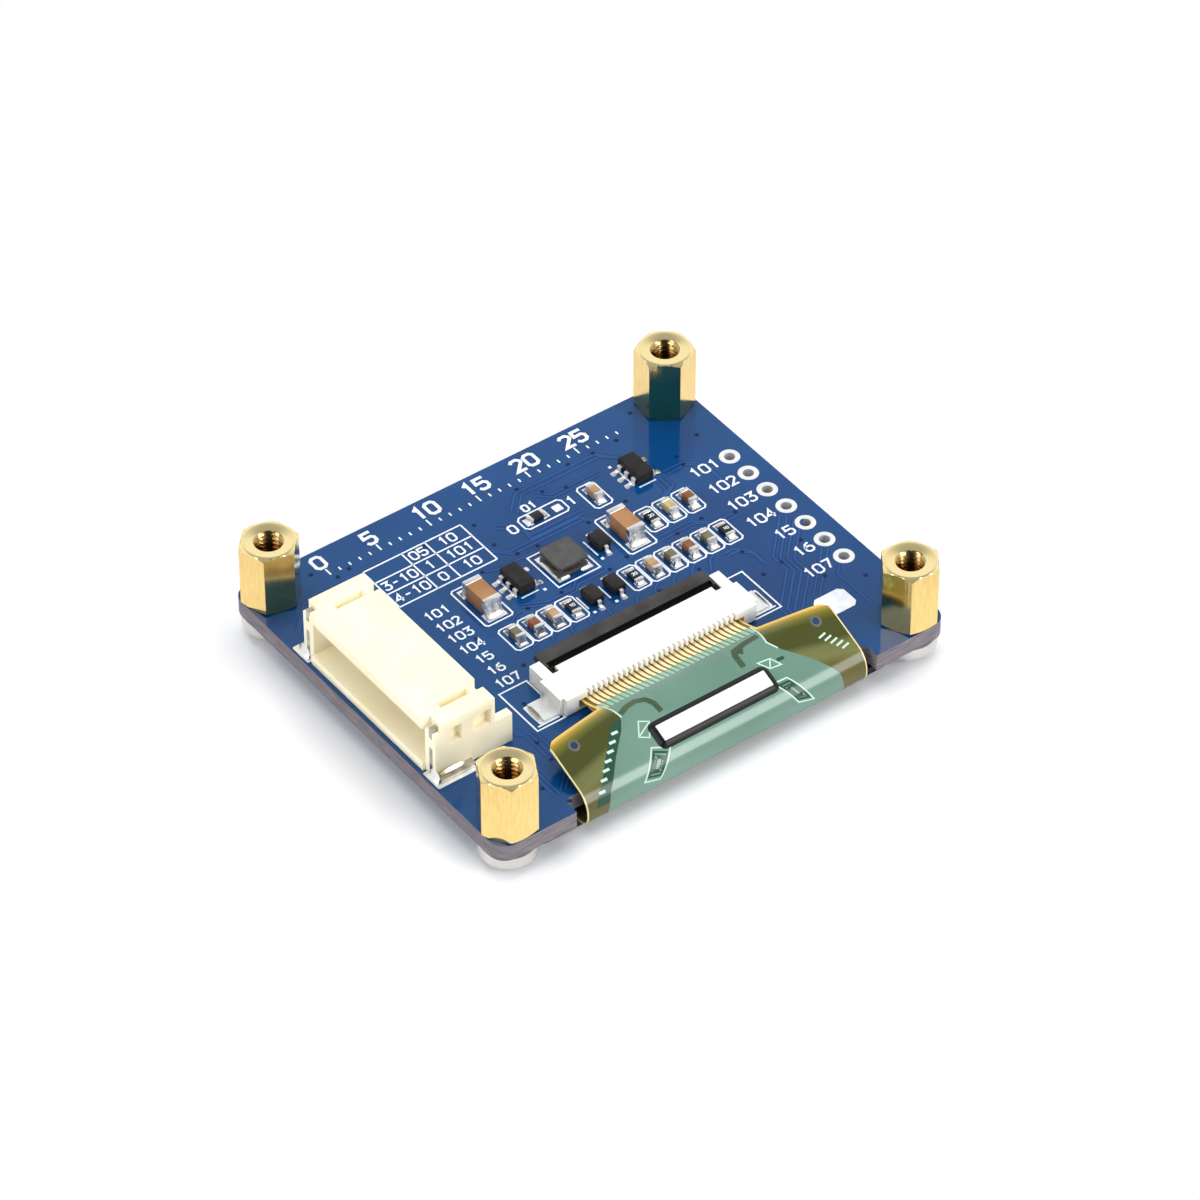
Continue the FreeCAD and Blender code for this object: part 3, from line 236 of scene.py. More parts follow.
def finish(name, first, second, rough, spread=0.12, patches=700, grain=5000, relief=0.12, stretch=(1, 1, 1),
           gloss=0.5, metallic=0.0, through=(0.0, 1.0)):
    """A material worked from two colours. Some light goes through it: its share, and how many mm deep."""
    material = bpy.data.materials.new(name)
    material.use_nodes = True
    tree = material.node_tree
    surface = tree.nodes.new("ShaderNodeGroup")
    surface.node_tree = worked_surface
    values = (srgb(*first), srgb(*second), patches, grain, rough - spread / 2, spread, stretch)
    for socket, value in zip(surface.inputs, values):
        socket.default_value = value
    shader = tree.nodes["Principled BSDF"]
    for socket, value in (("Specular IOR Level", gloss), ("Metallic", metallic),
                          ("Subsurface Weight", through[0]), ("Subsurface Scale", through[1] * MM)):
        shader.inputs[socket].default_value = value
    bump = node(tree, "ShaderNodeBump", relief, GRAIN_DEEP * MM, None, surface.outputs["Height"])
    for value, socket in ((surface.outputs["Colour"], "Base Color"), (surface.outputs["Rough"], "Roughness"),
                          (bump, "Normal")):
        tree.links.new(value, shader.inputs[socket])
    return material


def keep_piece(name, mesh, body="module", smooth=False):
    """Stands a finished mesh in the scene as a piece that rides its body."""
    if smooth:
        mesh.polygons.foreach_set("use_smooth", [True] * len(mesh.polygons))
        mesh.set_sharp_from_angle(angle=SHARP_ANGLE)
    piece = stand(name, mesh)
    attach(piece, body)
    return piece


def new_piece(name, shape, material, smooth=False):
    """A piece of one finish from (points in millimetres, faces)."""
    mesh = mesh_of(name, *shape)
    mesh.materials.append(material)
    return keep_piece(name, mesh, smooth=smooth)


def gather(shapes):
    """Several shapes as one."""
    points, faces = [], []
    for more_points, more_faces in shapes:
        start = len(points)
        points += more_points
        faces += [tuple(start + corner for corner in face) for face in more_faces]
    return points, faces


def grid(rows, columns, closed=False):
    """The faces of a grid of points listed row by row. A closed grid's last row joins its first."""
    faces = []
    for row in range(rows if closed else rows - 1):
        for column in range(columns - 1):
            here, after = row * columns + column, (row + 1) % rows * columns + column
            faces.append((here, after, after + 1, here + 1))
    return faces


def turned(section, around):
    """A surface turned about +Z. The section lists (radius, height) points, or gives them for an angle."""
    points = []
    for number in range(around):
        angle = 2 * math.pi * number / around
        column = section(angle) if callable(section) else section
        points += [(radius * math.cos(angle), radius * math.sin(angle), up) for radius, up in column]
    return points, grid(around, len(points) // around, True)


def stroke(line, width, height, closed=False):
    """A flat line of that width along its points, with mitred corners."""
    spots, points = [Vector(spot) for spot in line], []
    for number, spot in enumerate(spots):
        ways = [(spot - spots[number - 1]).normalized()] if number or closed else []
        if number + 1 < len(spots) or closed:
            ways.append((spots[(number + 1) % len(spots)] - spot).normalized())
        way = sum(ways, Vector((0, 0))).normalized()
        reach = width / 2 / max(way.dot(ways[0]), MITRE_LEAST)
        points += [(spot.x + way.y * side, spot.y - way.x * side, height) for side in (reach, -reach)]
    return points, grid(len(spots), 2, closed)


def frame_line(low_x, low_y, high_x, high_y, cut=0.0):
    """The corners of a rectangle, cut off where a size is given."""
    if not cut:
        return [(low_x, low_y), (high_x, low_y), (high_x, high_y), (low_x, high_y)]
    return [(low_x + cut, low_y), (high_x - cut, low_y), (high_x, low_y + cut), (high_x, high_y - cut),
            (high_x - cut, high_y), (low_x + cut, high_y), (low_x, high_y - cut), (low_x, low_y + cut)]


def patch(low_x, low_y, high_x, high_y, height, cut=0.0):
    """A flat rectangle, its corners cut off where a size is given."""
    corners = frame_line(low_x, low_y, high_x, high_y, cut)
    return [(x, y, height) for x, y in corners], [tuple(range(len(corners)))]


DIGIT_WIDE, DIGIT_TALL, DIGIT_STEP = 4, 6, 5.6
DIGITS = {
    "0": [(0, 3), (0, 5), (1, 6), (3, 6), (4, 5), (4, 1), (3, 0), (1, 0), (0, 1), (0, 3)],
    "1": [(1, 4.8), (2.4, 6), (2.4, 0)],
    "2": [(0, 4.9), (1, 6), (3, 6), (4, 5), (4, 4), (0.2, 0), (4, 0)],
    "3": [(0, 6), (4, 6), (2, 3.6), (3, 3.6), (4, 2.6), (4, 1), (3, 0), (1, 0), (0, 1)],
    "4": [(3, 0), (3, 6), (0, 2), (4.2, 2)],
    "5": [(4, 6), (0.2, 6), (0, 3.4), (3, 3.6), (4, 2.7), (4, 1), (3, 0), (1, 0), (0, 1)],
    "6": [(3.6, 6), (1.4, 5.2), (0, 3), (0, 1), (1, 0), (3, 0), (4, 1), (4, 2.6), (3, 3.5), (1, 3.5),
          (0, 2.6)],
    "7": [(0, 6), (4, 6), (1.5, 0)],
    "-": [(0.6, 3), (3.4, 3)],
}


def word(text, x, y, tall, height, weight=0.19, end=False):
    """Digits printed flat in strokes, from their lower left corner, or back from their lower right one."""
    unit = tall / DIGIT_TALL
    left = x - ((len(text) - 1) * DIGIT_STEP + DIGIT_WIDE) * unit if end else x
    return gather([stroke([(left + (number * DIGIT_STEP + right) * unit, y + up * unit)
                           for right, up in DIGITS[digit]], weight, height)
                   for number, digit in enumerate(text)])


def set_out_tree():
    """Geometry nodes that stand a copy of a piece at every point, at that point's turn and size."""
    tree = bpy.data.node_groups.new("set_out", "GeometryNodeTree")
    for name, kind in (("Points", "Geometry"), ("Piece", "Object"), ("Finish", "Material")):
        tree.interface.new_socket(name, in_out="INPUT", socket_type="NodeSocket" + kind)
    tree.interface.new_socket("Pieces", in_out="OUTPUT", socket_type="NodeSocketGeometry")
    given = tree.nodes.new("NodeGroupInput").outputs
    unit = node(tree, "GeometryNodeObjectInfo", given["Piece"], out="Geometry")
    turn, size = (node(tree, "GeometryNodeInputNamedAttribute", name, data_type="FLOAT_VECTOR")
                  for name in ("turn", "size"))
    copies = node(tree, "GeometryNodeInstanceOnPoints", given["Points"], None, unit, None, None, turn, size)
    solid = node(tree, "GeometryNodeRealizeInstances", copies)
    coated = node(tree, "GeometryNodeSetMaterial", solid, None, given["Finish"])
    tree.links.new(coated, tree.nodes.new("NodeGroupOutput").inputs[0])
    return tree


set_out = set_out_tree()


def at(x, y, z, turn=0, size=(1, 1, 1)):
    """A place for a copy: its point, its turn about +Z in degrees and its size."""
    return (x, y, z), turn, size


def worked_mesh(source):
    """An object's mesh with its modifiers worked in."""
    return bpy.data.meshes.new_from_object(source.evaluated_get(bpy.context.evaluated_depsgraph_get()))


def repeat(name, unit, places, material, smooth=False):
    """One piece made of copies of a shape, one at each place."""
    unit_piece = stand(name + "_unit", mesh_of(name + "_unit", *unit))
    host = stand(name + "_places", mesh_of(name + "_places", [point for point, _, _ in places]))
    turns = [(0, 0, math.radians(turn)) for _, turn, _ in places]
    for attribute, rows in (("turn", turns), ("size", [size for _, _, size in places])):
        values = host.data.attributes.new(attribute, "FLOAT_VECTOR", "POINT").data
        values.foreach_set("vector", [number for row in rows for number in row])
    modifier = host.modifiers.new("set out", "NODES")
    modifier.node_group = set_out
    sockets = {item.name: item.identifier for item in set_out.interface.items_tree if item.in_out == "INPUT"}
    modifier[sockets["Piece"]] = unit_piece
    modifier[sockets["Finish"]] = material
    mesh = worked_mesh(host)
    mesh.materials.clear()
    mesh.materials.append(material)
    for made in (unit_piece, host):
        bpy.data.objects.remove(made)
    return keep_piece(name, mesh, smooth=smooth)


def merged_copy(name):
    """A CAD piece's surface in the module's own frame, with its facets joined up."""
    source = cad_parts[name]
    work = bmesh.new()
    work.from_mesh(source.data)
    work.transform(source.matrix_world)
    bmesh.ops.remove_doubles(work, verts=work.verts, dist=JOIN_DISTANCE * MM)
    return work


mask_blue = finish("mask_blue", (4, 68, 122), (2, 57, 109), 0.11, spread=0.05, patches=110, grain=900,
                   relief=0.04, gloss=0.38)
laminate_edge = finish("laminate_edge", (132, 125, 129), (104, 97, 104), 0.66, grain=4000, relief=0.5,
                       stretch=(1, 1, 7), gloss=0.2)
mask_line = finish("mask_line", (16, 78, 140), (10, 70, 130), 0.2, patches=300, gloss=0.36)
mask_gap = finish("mask_gap", (4, 46, 100), (2, 40, 92), 0.22, patches=300, gloss=0.36)
via_painted_shade = finish("via_painted_shade", (6, 22, 56), (8, 30, 72), 0.4, patches=3000, gloss=0.2)
# The barrel's plain grey on a mostly non-metal finish is painted light in the bore, in place of a dark
# reflection.
barrel_tin_painted_light = finish("barrel_tin_painted_light", (206, 207, 210), (168, 170, 174), 0.4, patches=2000, metallic=0.2)
white_ink = finish("white_ink", (238, 242, 246), (216, 224, 234), 0.55, patches=1500, relief=0.2)
# Near-white tin on a half-metal finish: partly its own pale tin, partly a painted reflection of bright
# surroundings.
tin_bright = finish("tin_bright", (240, 241, 240), (224, 225, 226), 0.34, patches=1500, grain=4000,
                    relief=0.2, metallic=0.45)

work = merged_copy("circuit_board")
bmesh.ops.dissolve_limit(work, angle_limit=FLAT_ANGLE, verts=work.verts, edges=work.edges)
for face in work.faces:
    face.material_index = 0 if abs(face.normal.z) > FACE_UP else 1
    face.smooth = face.material_index == 1
board_mesh = bpy.data.meshes.new("board")
work.to_mesh(board_mesh)
work.free()
for material in (mask_blue, laminate_edge):
    board_mesh.materials.append(material)
board_mesh.set_sharp_from_angle(angle=SHARP_ANGLE)
board = keep_piece("board", board_mesh)
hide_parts("circuit_board")

# Copper lines under the mask: (corners, side copies, step between copies). Each is a light line in a dark
# gap, and each lies a hair above the one before, so that none shares its plane where two cross.
GAP_WIDE, COPPER_WIDE, CROSSING_LIFT, CROSSING_COUNT = 0.36, 0.17, 0.0003, 12
COPPER_LINES = [
    ([(18.9, -0.7), (15.4, -4.3), (15.4, -6.2), (12.1, -9.5), (12.1, -10.6)], 4, (0.42, -0.42)),
    ([(19.3, -5.8), (15.2, -9.9), (15.2, -10.8)], 2, (0.5, -0.2)),
    ([(19.2, -8.2), (18.4, -9.0), (18.4, -13.5)], 1, (0, 0)),
    ([(1.6, 12.9), (3.2, 14.5), (11.2, 14.5), (12.6, 13.1)], 2, (0.3, -0.5)),
    ([(-0.4, 12.4), (1.2, 10.8), (1.2, 9.6), (6.4, 9.6)], 2, (-0.2, -0.45)),
    ([(-2.6, 10.2), (-1.4, 9.0), (5.6, 9.0), (7.4, 7.2)], 2, (0.1, -0.42)),
    ([(-4.8, 8.4), (-3.4, 7.8), (0.4, 7.8)], 1, (0, 0)),
    ([(13.4, 8.8), (13.4, 7.4), (12.2, 6.6)], 3, (0.45, 0.1)),
    ([(14.6, 9.4), (16.6, 9.4), (17.8, 8.2), (17.8, 5.4)], 2, (0.1, -0.45)),
    ([(9.2, 3.2), (12.6, 3.2), (14.2, 1.9), (16.4, 1.9)], 2, (0.2, -0.45)),
    ([(-4.6, 3.0), (-2.4, 1.9), (0.2, 1.9), (0.8, 2.5), (3.6, 2.5)], 2, (0.0, 0.42)),
    ([(-8.6, 1.9), (-6.4, 1.9), (-5.4, 2.6), (-4.8, 2.6)], 1, (0, 0)),
    ([(-13.4, -8.2), (-12.2, -9.4), (-12.2, -14.6), (-13.6, -16.0)], 3, (-0.45, 0.1)),
    ([(-16.8, -11.2), (-15.2, -12.8), (-15.2, -16.2)], 2, (0.45, 0.1)),
    ([(-20.6, 11.2), (-18.4, 13.4), (-15.4, 13.4), (-13.8, 11.8)], 2, (0.1, 0.42)),
    ([(4.4, 13.2), (5.4, 12.2), (10.2, 12.2)], 2, (0.1, 0.42)),
    ([(-6.6, -2.4), (-6.6, -1.4), (-5.2, -0.9)], 5, (1.86, 0)),
    ([(3.0, -2.6), (3.6, -1.6), (4.2, -1.2)], 5, (1.86, 0)),
    ([(12.4, -1.6), (13.4, -1.6), (14.4, -2.6), (14.4, -4.2)], 2, (0.1, -0.42)),
]
lines, gaps = [], []
for corners, copies, (step_x, step_y) in COPPER_LINES:
    for number in range(copies):
        moved = [(x + number * step_x, y + number * step_y) for x, y in corners]
        level = BOARD_TOP + CROSSING_LIFT * (len(gaps) % CROSSING_COUNT)
        gaps.append(stroke(moved, GAP_WIDE, level + LAYERS["gap"]))
        lines.append(stroke(moved, COPPER_WIDE, level + LAYERS["copper"]))
new_piece("copper_gaps", gather(gaps), mask_gap)
new_piece("copper_lines", gather(lines), mask_line)

# Vias stand where the lines change face, each a flat dark disc of painted shade for its dimple.
VIAS = [(-17.4, 16.9), (-15.9, 16.3), (-14.3, 14.8), (-13, 15.1), (3.6, 14.8), (8.8, 14.8), (11.3, 14.7),
        (13.8, 14.8), (-1.8, 13.3), (5.1, 13.3), (-1.9, 10.4), (16.6, 10.2), (16.4, 9.1), (13.6, 2.9),
        (16.3, 1.9), (13.8, -2.3), (13.5, -5.5), (15.6, -5.2), (18.5, -4.0), (20.1, -10.5),
        (-12.8, -10.4), (-13, -12.6), (-15.5, -14.8), (-4.6, 8.3), (-1.0, 8.4), (0.9, 8.2), (5.9, 8.0),
        (9.9, 8.3), (3.9, 2.4), (-0.9, 2.5), (-4.2, 2.6), (5.9, 2.8), (10.9, 2.6), (-9.6, 2.2),
        (-9.9, 9.6), (-14.0, 11.0), (-19.4, 10.9), (-11.0, -6.2), (12.2, -12.0), (-8.4, -2.6),
        (-2.9, -2.5), (1.4, -2.3), (5.6, -2.1), (9.7, -1.9), (-18.2, -12.4), (-14.6, -17.2), (16.8, 16.9),
        (19.6, 11.4), (7.0, 12.6), (17.4, -8.6), (-6.6, 13.6)]
VIA_RIM = [(0.2, LAYERS["via"]), (0.0001, LAYERS["via"])]
VIA_SIDES, PANEL_EDGE = 10, 17.2
repeat("vias", turned(VIA_RIM, VIA_SIDES), [at(x, y, BOARD_TOP) for x, y in VIAS], via_painted_shade)
repeat("vias_below", turned([(radius, -up) for radius, up in reversed(VIA_RIM)], VIA_SIDES),
       [at(x, y, BOARD_BOTTOM) for x, y in VIAS if max(abs(x), y) > PANEL_EDGE], via_painted_shade)

# Each header hole's tinned rings and bore are one turned shape, slightly domed, with a duller barrel inside.
# The rings' near-white is partly a painted reflection, and the barrel's plain grey is painted light in the
# bore.
HEADER_X, HEADER_PITCH, HEADER_COUNT = 20.12, 2.54, 7
RING_RADIUS, PLATED_RADIUS, BARREL_RADIUS = 0.89, 0.47, 0.462
header_places = [at(HEADER_X, (number - (HEADER_COUNT - 1) / 2) * HEADER_PITCH, BOARD_MIDDLE)
                 for number in range(HEADER_COUNT)]
dome = [(RING_RADIUS, BOARD_HALF), (RING_RADIUS - 0.05, BOARD_HALF + 0.035),
        ((PLATED_RADIUS + RING_RADIUS) / 2, BOARD_HALF + 0.05), (PLATED_RADIUS + 0.05, BOARD_HALF + 0.03),
        (PLATED_RADIUS, BOARD_HALF)]
repeat("header_barrels", turned([(BARREL_RADIUS, BOARD_HALF - 0.01), (BARREL_RADIUS, 0.01 - BOARD_HALF)], 32),
       header_places, barrel_tin_painted_light, smooth=True)
repeat("header_plating", turned(dome + [(radius, -up) for radius, up in reversed(dome)], 36),
       header_places, tin_bright, smooth=True)

# White print: outlines round the parts, an option table, pin numbers, a millimetre rule along the back edge
# and a blank writing patch. It is laid in one thin layer of ink.
INK, LINE, FINE, BOLD = BOARD_TOP + LAYERS["ink"], 0.15, 0.17, 0.31
TABLE_TALL, HEADER_TALL, WIRE_TALL, RULE_TALL = 0.92, 1.02, 0.86, 1.4
CHIP_ROW_X = (-6.98, -5.12, -3.26, -1.40, 4.86, 6.72, 8.58, 10.44, 12.30, 14.16)
DIODE_X = (0.63, 2.83)
OUTLINES = [(x - 0.85, -1.05, x + 0.85, 1.85, 0.25) for x in CHIP_ROW_X] + [
    (-8.15, 2.75, -5.45, 7.85, 0.2), (-0.72, 3.1, 3.45, 7.45, 0.0), (6.3, 2.75, 9.05, 7.85, 0.2),
    (9.35, 3.8, 11.05, 6.75, 0.25), (11.25, 3.8, 12.95, 6.75, 0.25), (13.2, 3.8, 14.9, 6.75, 0.25),
    (1.3, 10.15, 5.7, 11.8, 0.3), (7.4, 8.85, 9.15, 11.9, 0.25), (-12.0, -9.4, -9.3, -4.2, 0.0),
    (9.7, -9.4, 12.3, -4.2, 0.0)]
PLAIN_LINES = [((x - 0.93, -0.4), (x - 0.93, 1.3)) for x in DIODE_X] + [
    ((-4.15, 4.2), (-4.15, 6.8)), ((11.6, 9.4), (11.6, 11.8)), ((4.12, 4.3), (4.12, 6.35)),
    ((-3.9, 3.85), (-2.2, 3.85)), ((11.8, 8.95), (13.5, 8.95)), ((-11.7, -9.05), (-9.6, -9.05)),
    ((10.0, -9.05), (12.0, -9.05))]
WRITING_PATCH = (14.5, -12.8, 17.6, -10.4)
DOTS, DOT_HALF = ((-1.75, 3.6), (4.2, 3.8), (11.35, 12.4)), 0.14
ink = [stroke(frame_line(*outline), LINE, INK, True) for outline in OUTLINES]
ink += [patch(x - 0.9, -1.12, x - 0.62, -0.86, INK) for x in DIODE_X]
ink += [patch(x - DOT_HALF, y - DOT_HALF, x + DOT_HALF, y + DOT_HALF, INK) for x, y in DOTS]
TABLE_X, TABLE_Y = (-12.4, -8.6, -6.3, -2.7), (14.0, 12.35, 10.65, 8.85)
PLAIN_LINES += [((x, TABLE_Y[-1]), (x, TABLE_Y[0])) for x in TABLE_X]
PLAIN_LINES += [((TABLE_X[0], y), (TABLE_X[-1], y)) for y in TABLE_Y]
TABLE_WORDS = (("05", -8.2, 12.75), ("10", -5.3, 12.75), ("3-10", -12.1, 11.05), ("1", -7.8, 11.05),
               ("101", -5.7, 11.05), ("4-10", -12.1, 9.3), ("0", -7.7, 9.3), ("10", -5.3, 9.3))
ink += [word(text, x, y, TABLE_TALL, INK, weight=FINE) for text, x, y in TABLE_WORDS]
PART_WORDS = (("0", 0.1, 10.5, 0.95), ("1", 6.0, 10.5, 0.95), ("01", 2.5, 12.1, 0.75))
ink += [word(*part_word, INK) for part_word in PART_WORDS]
PIN_NUMBERS, WIRE_PIN_Y, WIRE_PIN_STEP = ("101", "102", "103", "104", "15", "16", "107"), 6.05, 1.62
for number, text in enumerate(PIN_NUMBERS):
    ink.append(word(text, 18.8, (3 - number) * HEADER_PITCH - 0.5, HEADER_TALL, INK, end=True))
    y = WIRE_PIN_Y - number * WIRE_PIN_STEP
    ink.append(word(text, -11.5 if len(text) > 2 else -11.1, y, WIRE_TALL, INK, weight=FINE))
    PLAIN_LINES.append(((-13.2, y + 0.15), (-12.6, y + 0.75)))
RULE_START, RULE_LENGTH, RULE_Y, LONG_MARK, SHORT_MARK = -14.6, 29, 15.35, 0.8, 0.4
for step in range(RULE_LENGTH + 1):
    tall = SHORT_MARK if step % 5 else LONG_MARK
    PLAIN_LINES.append(((RULE_START + step, RULE_Y), (RULE_START + step, RULE_Y + tall)))
ink += [word(str(step), RULE_START + step - 0.5, RULE_Y + 1.05, RULE_TALL, INK, weight=BOLD)
        for step in range(0, RULE_LENGTH, 5)]
ink += [stroke(line, LINE, INK) for line in PLAIN_LINES]
ink.append(patch(*WRITING_PATCH, INK, 0.4))
new_piece("white_print", gather(ink), white_ink)

# Display panel.
# Two glass plates sealed over the picture, a polarising film on the viewing side and a black foam tape
# that holds the plates to the board.
PICTURE = (-13.43, -12.4, 13.43, 14.46)
LEDGE_LINES, LEDGE_PITCH, LEDGE_LEVEL, LEDGE_NARROWING = 61, 0.43, 0.19, 0.62
glass_dark = finish("glass_dark", (26, 31, 36), (17, 21, 26), 0.08, spread=0.04, patches=60, relief=0.02,
                    gloss=0.35)
foam = finish("foam", (34, 34, 36), (20, 20, 22), 0.9, patches=1500, grain=6000, relief=0.8)
film_dark = finish("film_dark", (18, 19, 22), (12, 13, 16), 0.10, spread=0.05, patches=40, relief=0.03,
                   gloss=0.3)
ledge_metal = finish("ledge_metal", (84, 86, 90), (70, 72, 76), 0.3, patches=900, metallic=0.6)


def coloured_by(material):
    """A material's tree, the Base Color input of its shader, and the colour that feeds it."""
    colour = material.node_tree.nodes["Principled BSDF"].inputs["Base Color"]
    return material.node_tree, colour, colour.links[0].from_socket


# The picture shows through the film as a slightly lighter field.
tree, colour, plain = coloured_by(film_dark)
inside = []
for axis, (low, high) in enumerate(zip(PICTURE[:2], PICTURE[2:])):
    shift = maths(tree, "SUBTRACT", coordinate(tree, axis), (low + high) / 2 * MM)
    inside.append(maths(tree, "LESS_THAN", maths(tree, "ABSOLUTE", shift), (high - low) / 2 * MM))
tree.links.new(mixed(tree, maths(tree, "MULTIPLY", *inside), plain, srgb(30, 27, 40)), colour)


def dress(names, material):
    """Gives CAD pieces their finish."""
    for name in names:
        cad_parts[name].data.materials[0] = material


dress(("front_glass", "rear_glass"), glass_dark)
dress(("polariser",), film_dark)
dress(("mounting_tape",), foam)
fan_lines = []
for number in range(LEDGE_LINES):
    x = (number - LEDGE_LINES // 2) * LEDGE_PITCH
    narrow = x * LEDGE_NARROWING
    fan_lines.append(stroke([(narrow, -16.75), (narrow, -16.3), (x, -14.5), (x, -13.86)], 0.09, LEDGE_LEVEL))
points, faces = gather(fan_lines)
new_piece("ledge_lines", (points, [face[::-1] for face in faces]), ledge_metal)

# Standoffs.
# Hexagonal brass bar, cut off and faced on a lathe, drilled, countersunk and tapped. Each is screwed down
# to a turn of its own.
FLATS, FACE_RADIUS, FACE_SLOPE = 4.5, 2.2, math.tan(math.radians(30))
BORE_RADIUS, THREAD_DEEP, THREAD_PITCH, THREAD_ROWS, MOUTH_RADIUS = 1.03, 1.24, 0.45, 46, 1.3
STANDOFF_TALL, THREAD_TALL, DISH = 6.0, 2.6, 0.07
TOOTH_SLOPE, TOOTH_FLAT, CHAMFER = 2.6, 0.25, 0.03
RIM = ((2.34, 0.12), (2.24, 0.045), (2.14, 0.008), (2.06, 0.0), (1.98, 0.012))
BOLT_X, BOLT_Y = 19.87, 16.24
STANDOFF_TURNS = {"front_left": 2.0, "front_right": 55.0, "back_left": 47.0, "back_right": 23.5}
# Painted shade in the bores and a painted highlight on the top faces.
BORE_EDGE, BORE_SHADE, BORE_SHADE_COLOUR, MOUTH_SHADE_SHARE = (1.20, 1.32), (9.5, 8.2), (98, 66, 36), 0.45
TOP_EDGE, TOP_HIGHLIGHT_COLOUR, TOP_HIGHLIGHT_SHARE = (9.45, 9.60), (255, 236, 176), 0.85
TURNING_PITCH, TURNING_RELIEF = 0.11, 0.22


def standoff_section(angle):
    """A standoff's section at an angle: lower face, wall, rounded rim, dished face and threaded bore."""
    wall = FLATS / 2 / math.cos(math.radians(math.degrees(angle) % 60 - 30))
    fall = max(wall - FACE_RADIUS, 0) * FACE_SLOPE
    face = STANDOFF_TALL - DISH
    column = [(MOUTH_RADIUS, 0), (FACE_RADIUS, 0), (wall, fall), (wall, STANDOFF_TALL - fall - CHAMFER)]
    column += [(min(radius, wall - 0.01), STANDOFF_TALL - down) for radius, down in RIM]
    column += [(MOUTH_RADIUS + 0.05, face), (MOUTH_RADIUS, face - CHAMFER)]
    for row in range(THREAD_ROWS + 1):
        up = face - 2 * CHAMFER - row * THREAD_TALL / THREAD_ROWS
        share = (up / THREAD_PITCH - angle / (2 * math.pi)) % 1
        tooth = min(max(abs(share - 0.5) * TOOTH_SLOPE - TOOTH_FLAT, 0), 1)
        thread = BORE_RADIUS + (THREAD_DEEP - BORE_RADIUS) * tooth
        column.append((max(thread, MOUTH_RADIUS - (face - up)), up))
    return column + [(1.0, up - 0.05)]


# The bore is darkened by painted shade, more where it is deep, the top face is made paler by a painted
# highlight, and the lathe has left fine rings on it.
brass = finish("brass", (246, 215, 141), (236, 202, 127), 0.15, spread=0.10, patches=4600, grain=12000,
               relief=0.20, metallic=1.0, stretch=(1, 1, 0.15))
tree, colour, plain = coloured_by(brass)
height = coordinate(tree, 2)
off_centre = [maths(tree, "SUBTRACT", maths(tree, "ABSOLUTE", coordinate(tree, axis)), centre * MM)
              for axis, centre in enumerate((BOLT_X, BOLT_Y))]
radius = node(tree, "ShaderNodeVectorMath", node(tree, "ShaderNodeCombineXYZ", *off_centre), out="Value",
              operation="LENGTH")
on_top = span(tree, height, TOP_EDGE[0] * MM, TOP_EDGE[1] * MM, 0.0, TOP_HIGHLIGHT_SHARE)
in_bore = span(tree, radius, BORE_EDGE[0] * MM, BORE_EDGE[1] * MM, 1.0, 0.0)
deep = span(tree, height, BORE_SHADE[0] * MM, BORE_SHADE[1] * MM, MOUTH_SHADE_SHARE, 1.0)
painted_top_light = mixed(tree, on_top, plain, srgb(*TOP_HIGHLIGHT_COLOUR))
shade = maths(tree, "MULTIPLY", in_bore, deep)
tree.links.new(mixed(tree, shade, painted_top_light, srgb(*BORE_SHADE_COLOUR), "MULTIPLY"), colour)
relief = tree.nodes["Principled BSDF"].inputs["Normal"].links[0].from_node.inputs["Height"]
rings = maths(tree, "SINE", maths(tree, "MULTIPLY", radius, 2 * math.pi / (TURNING_PITCH * MM)))
tree.links.new(maths(tree, "MULTIPLY_ADD", rings, TURNING_RELIEF, relief.links[0].from_socket), relief)
standoffs = repeat("standoffs", turned(standoff_section, 96),
                   [at(BOLT_X if "right" in corner else -BOLT_X, BOLT_Y if "back" in corner else -BOLT_Y,
                       BOARD_TOP, turn) for corner, turn in STANDOFF_TURNS.items()],
                   brass, smooth=True)
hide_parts(*["standoff_" + corner for corner in STANDOFF_TURNS])

# Screws.
# Nickel-plated pan heads under the board with a cross recess; the shank's rolled tip shows down inside
# each standoff.
HEAD_RADIUS, HEAD_TALL, CROWN = 2.5, 1.65, 0.9
SHANK_RADIUS, SHANK_TALL, SHANK_TIP = 1.25, 5.0, 0.3
RECESS_REACH, RECESS_HALF, RECESS_DEEP = 1.3, 0.3, 0.75
nickel = finish("nickel", (218, 216, 211), (208, 206, 202), 0.20, patches=900, relief=0.10, metallic=1.0)


def turned_solid(section, around=64):
    """A solid turned about +Z from its section, listed from its lower end on the axis to its upper one."""
    points, faces = turned(section[1:-1], around)
    rows = len(section) - 2
    for end, row, way in ((section[0], 0, -1), (section[-1], rows - 1, 1)):
        points.append((0, 0, end[1]))
        faces += [(len(points) - 1, number * rows + row, (number + 1) % around * rows + row)[::way]
                  for number in range(around)]
    return points, faces


def box_shape(low, high):
    """A box between two corners."""
    points = [(x, y, z) for z in (low[2], high[2]) for y in (low[1], high[1]) for x in (low[0], high[0])]
    return points, [(0, 2, 3, 1), (4, 5, 7, 6), (0, 1, 5, 4), (2, 6, 7, 3), (0, 4, 6, 2), (1, 3, 7, 5)]


def cut_away(shape, cutters):
    """A shape with the cutters' volume taken out of it."""
    made = []
    for points, faces in [shape] + cutters:
        mesh = bpy.data.meshes.new("cut")
        mesh.from_pydata(points, [], faces)
        made.append(stand("cut", mesh))
    for cutter in made[1:]:
        modifier = made[0].modifiers.new("cut", "BOOLEAN")
        modifier.operation = "DIFFERENCE"
        modifier.solver = "EXACT"
        modifier.object = cutter
    mesh = worked_mesh(made[0])
    for each in made:
        bpy.data.objects.remove(each)
    return [tuple(vertex.co) for vertex in mesh.vertices], [tuple(face.vertices) for face in mesh.polygons]


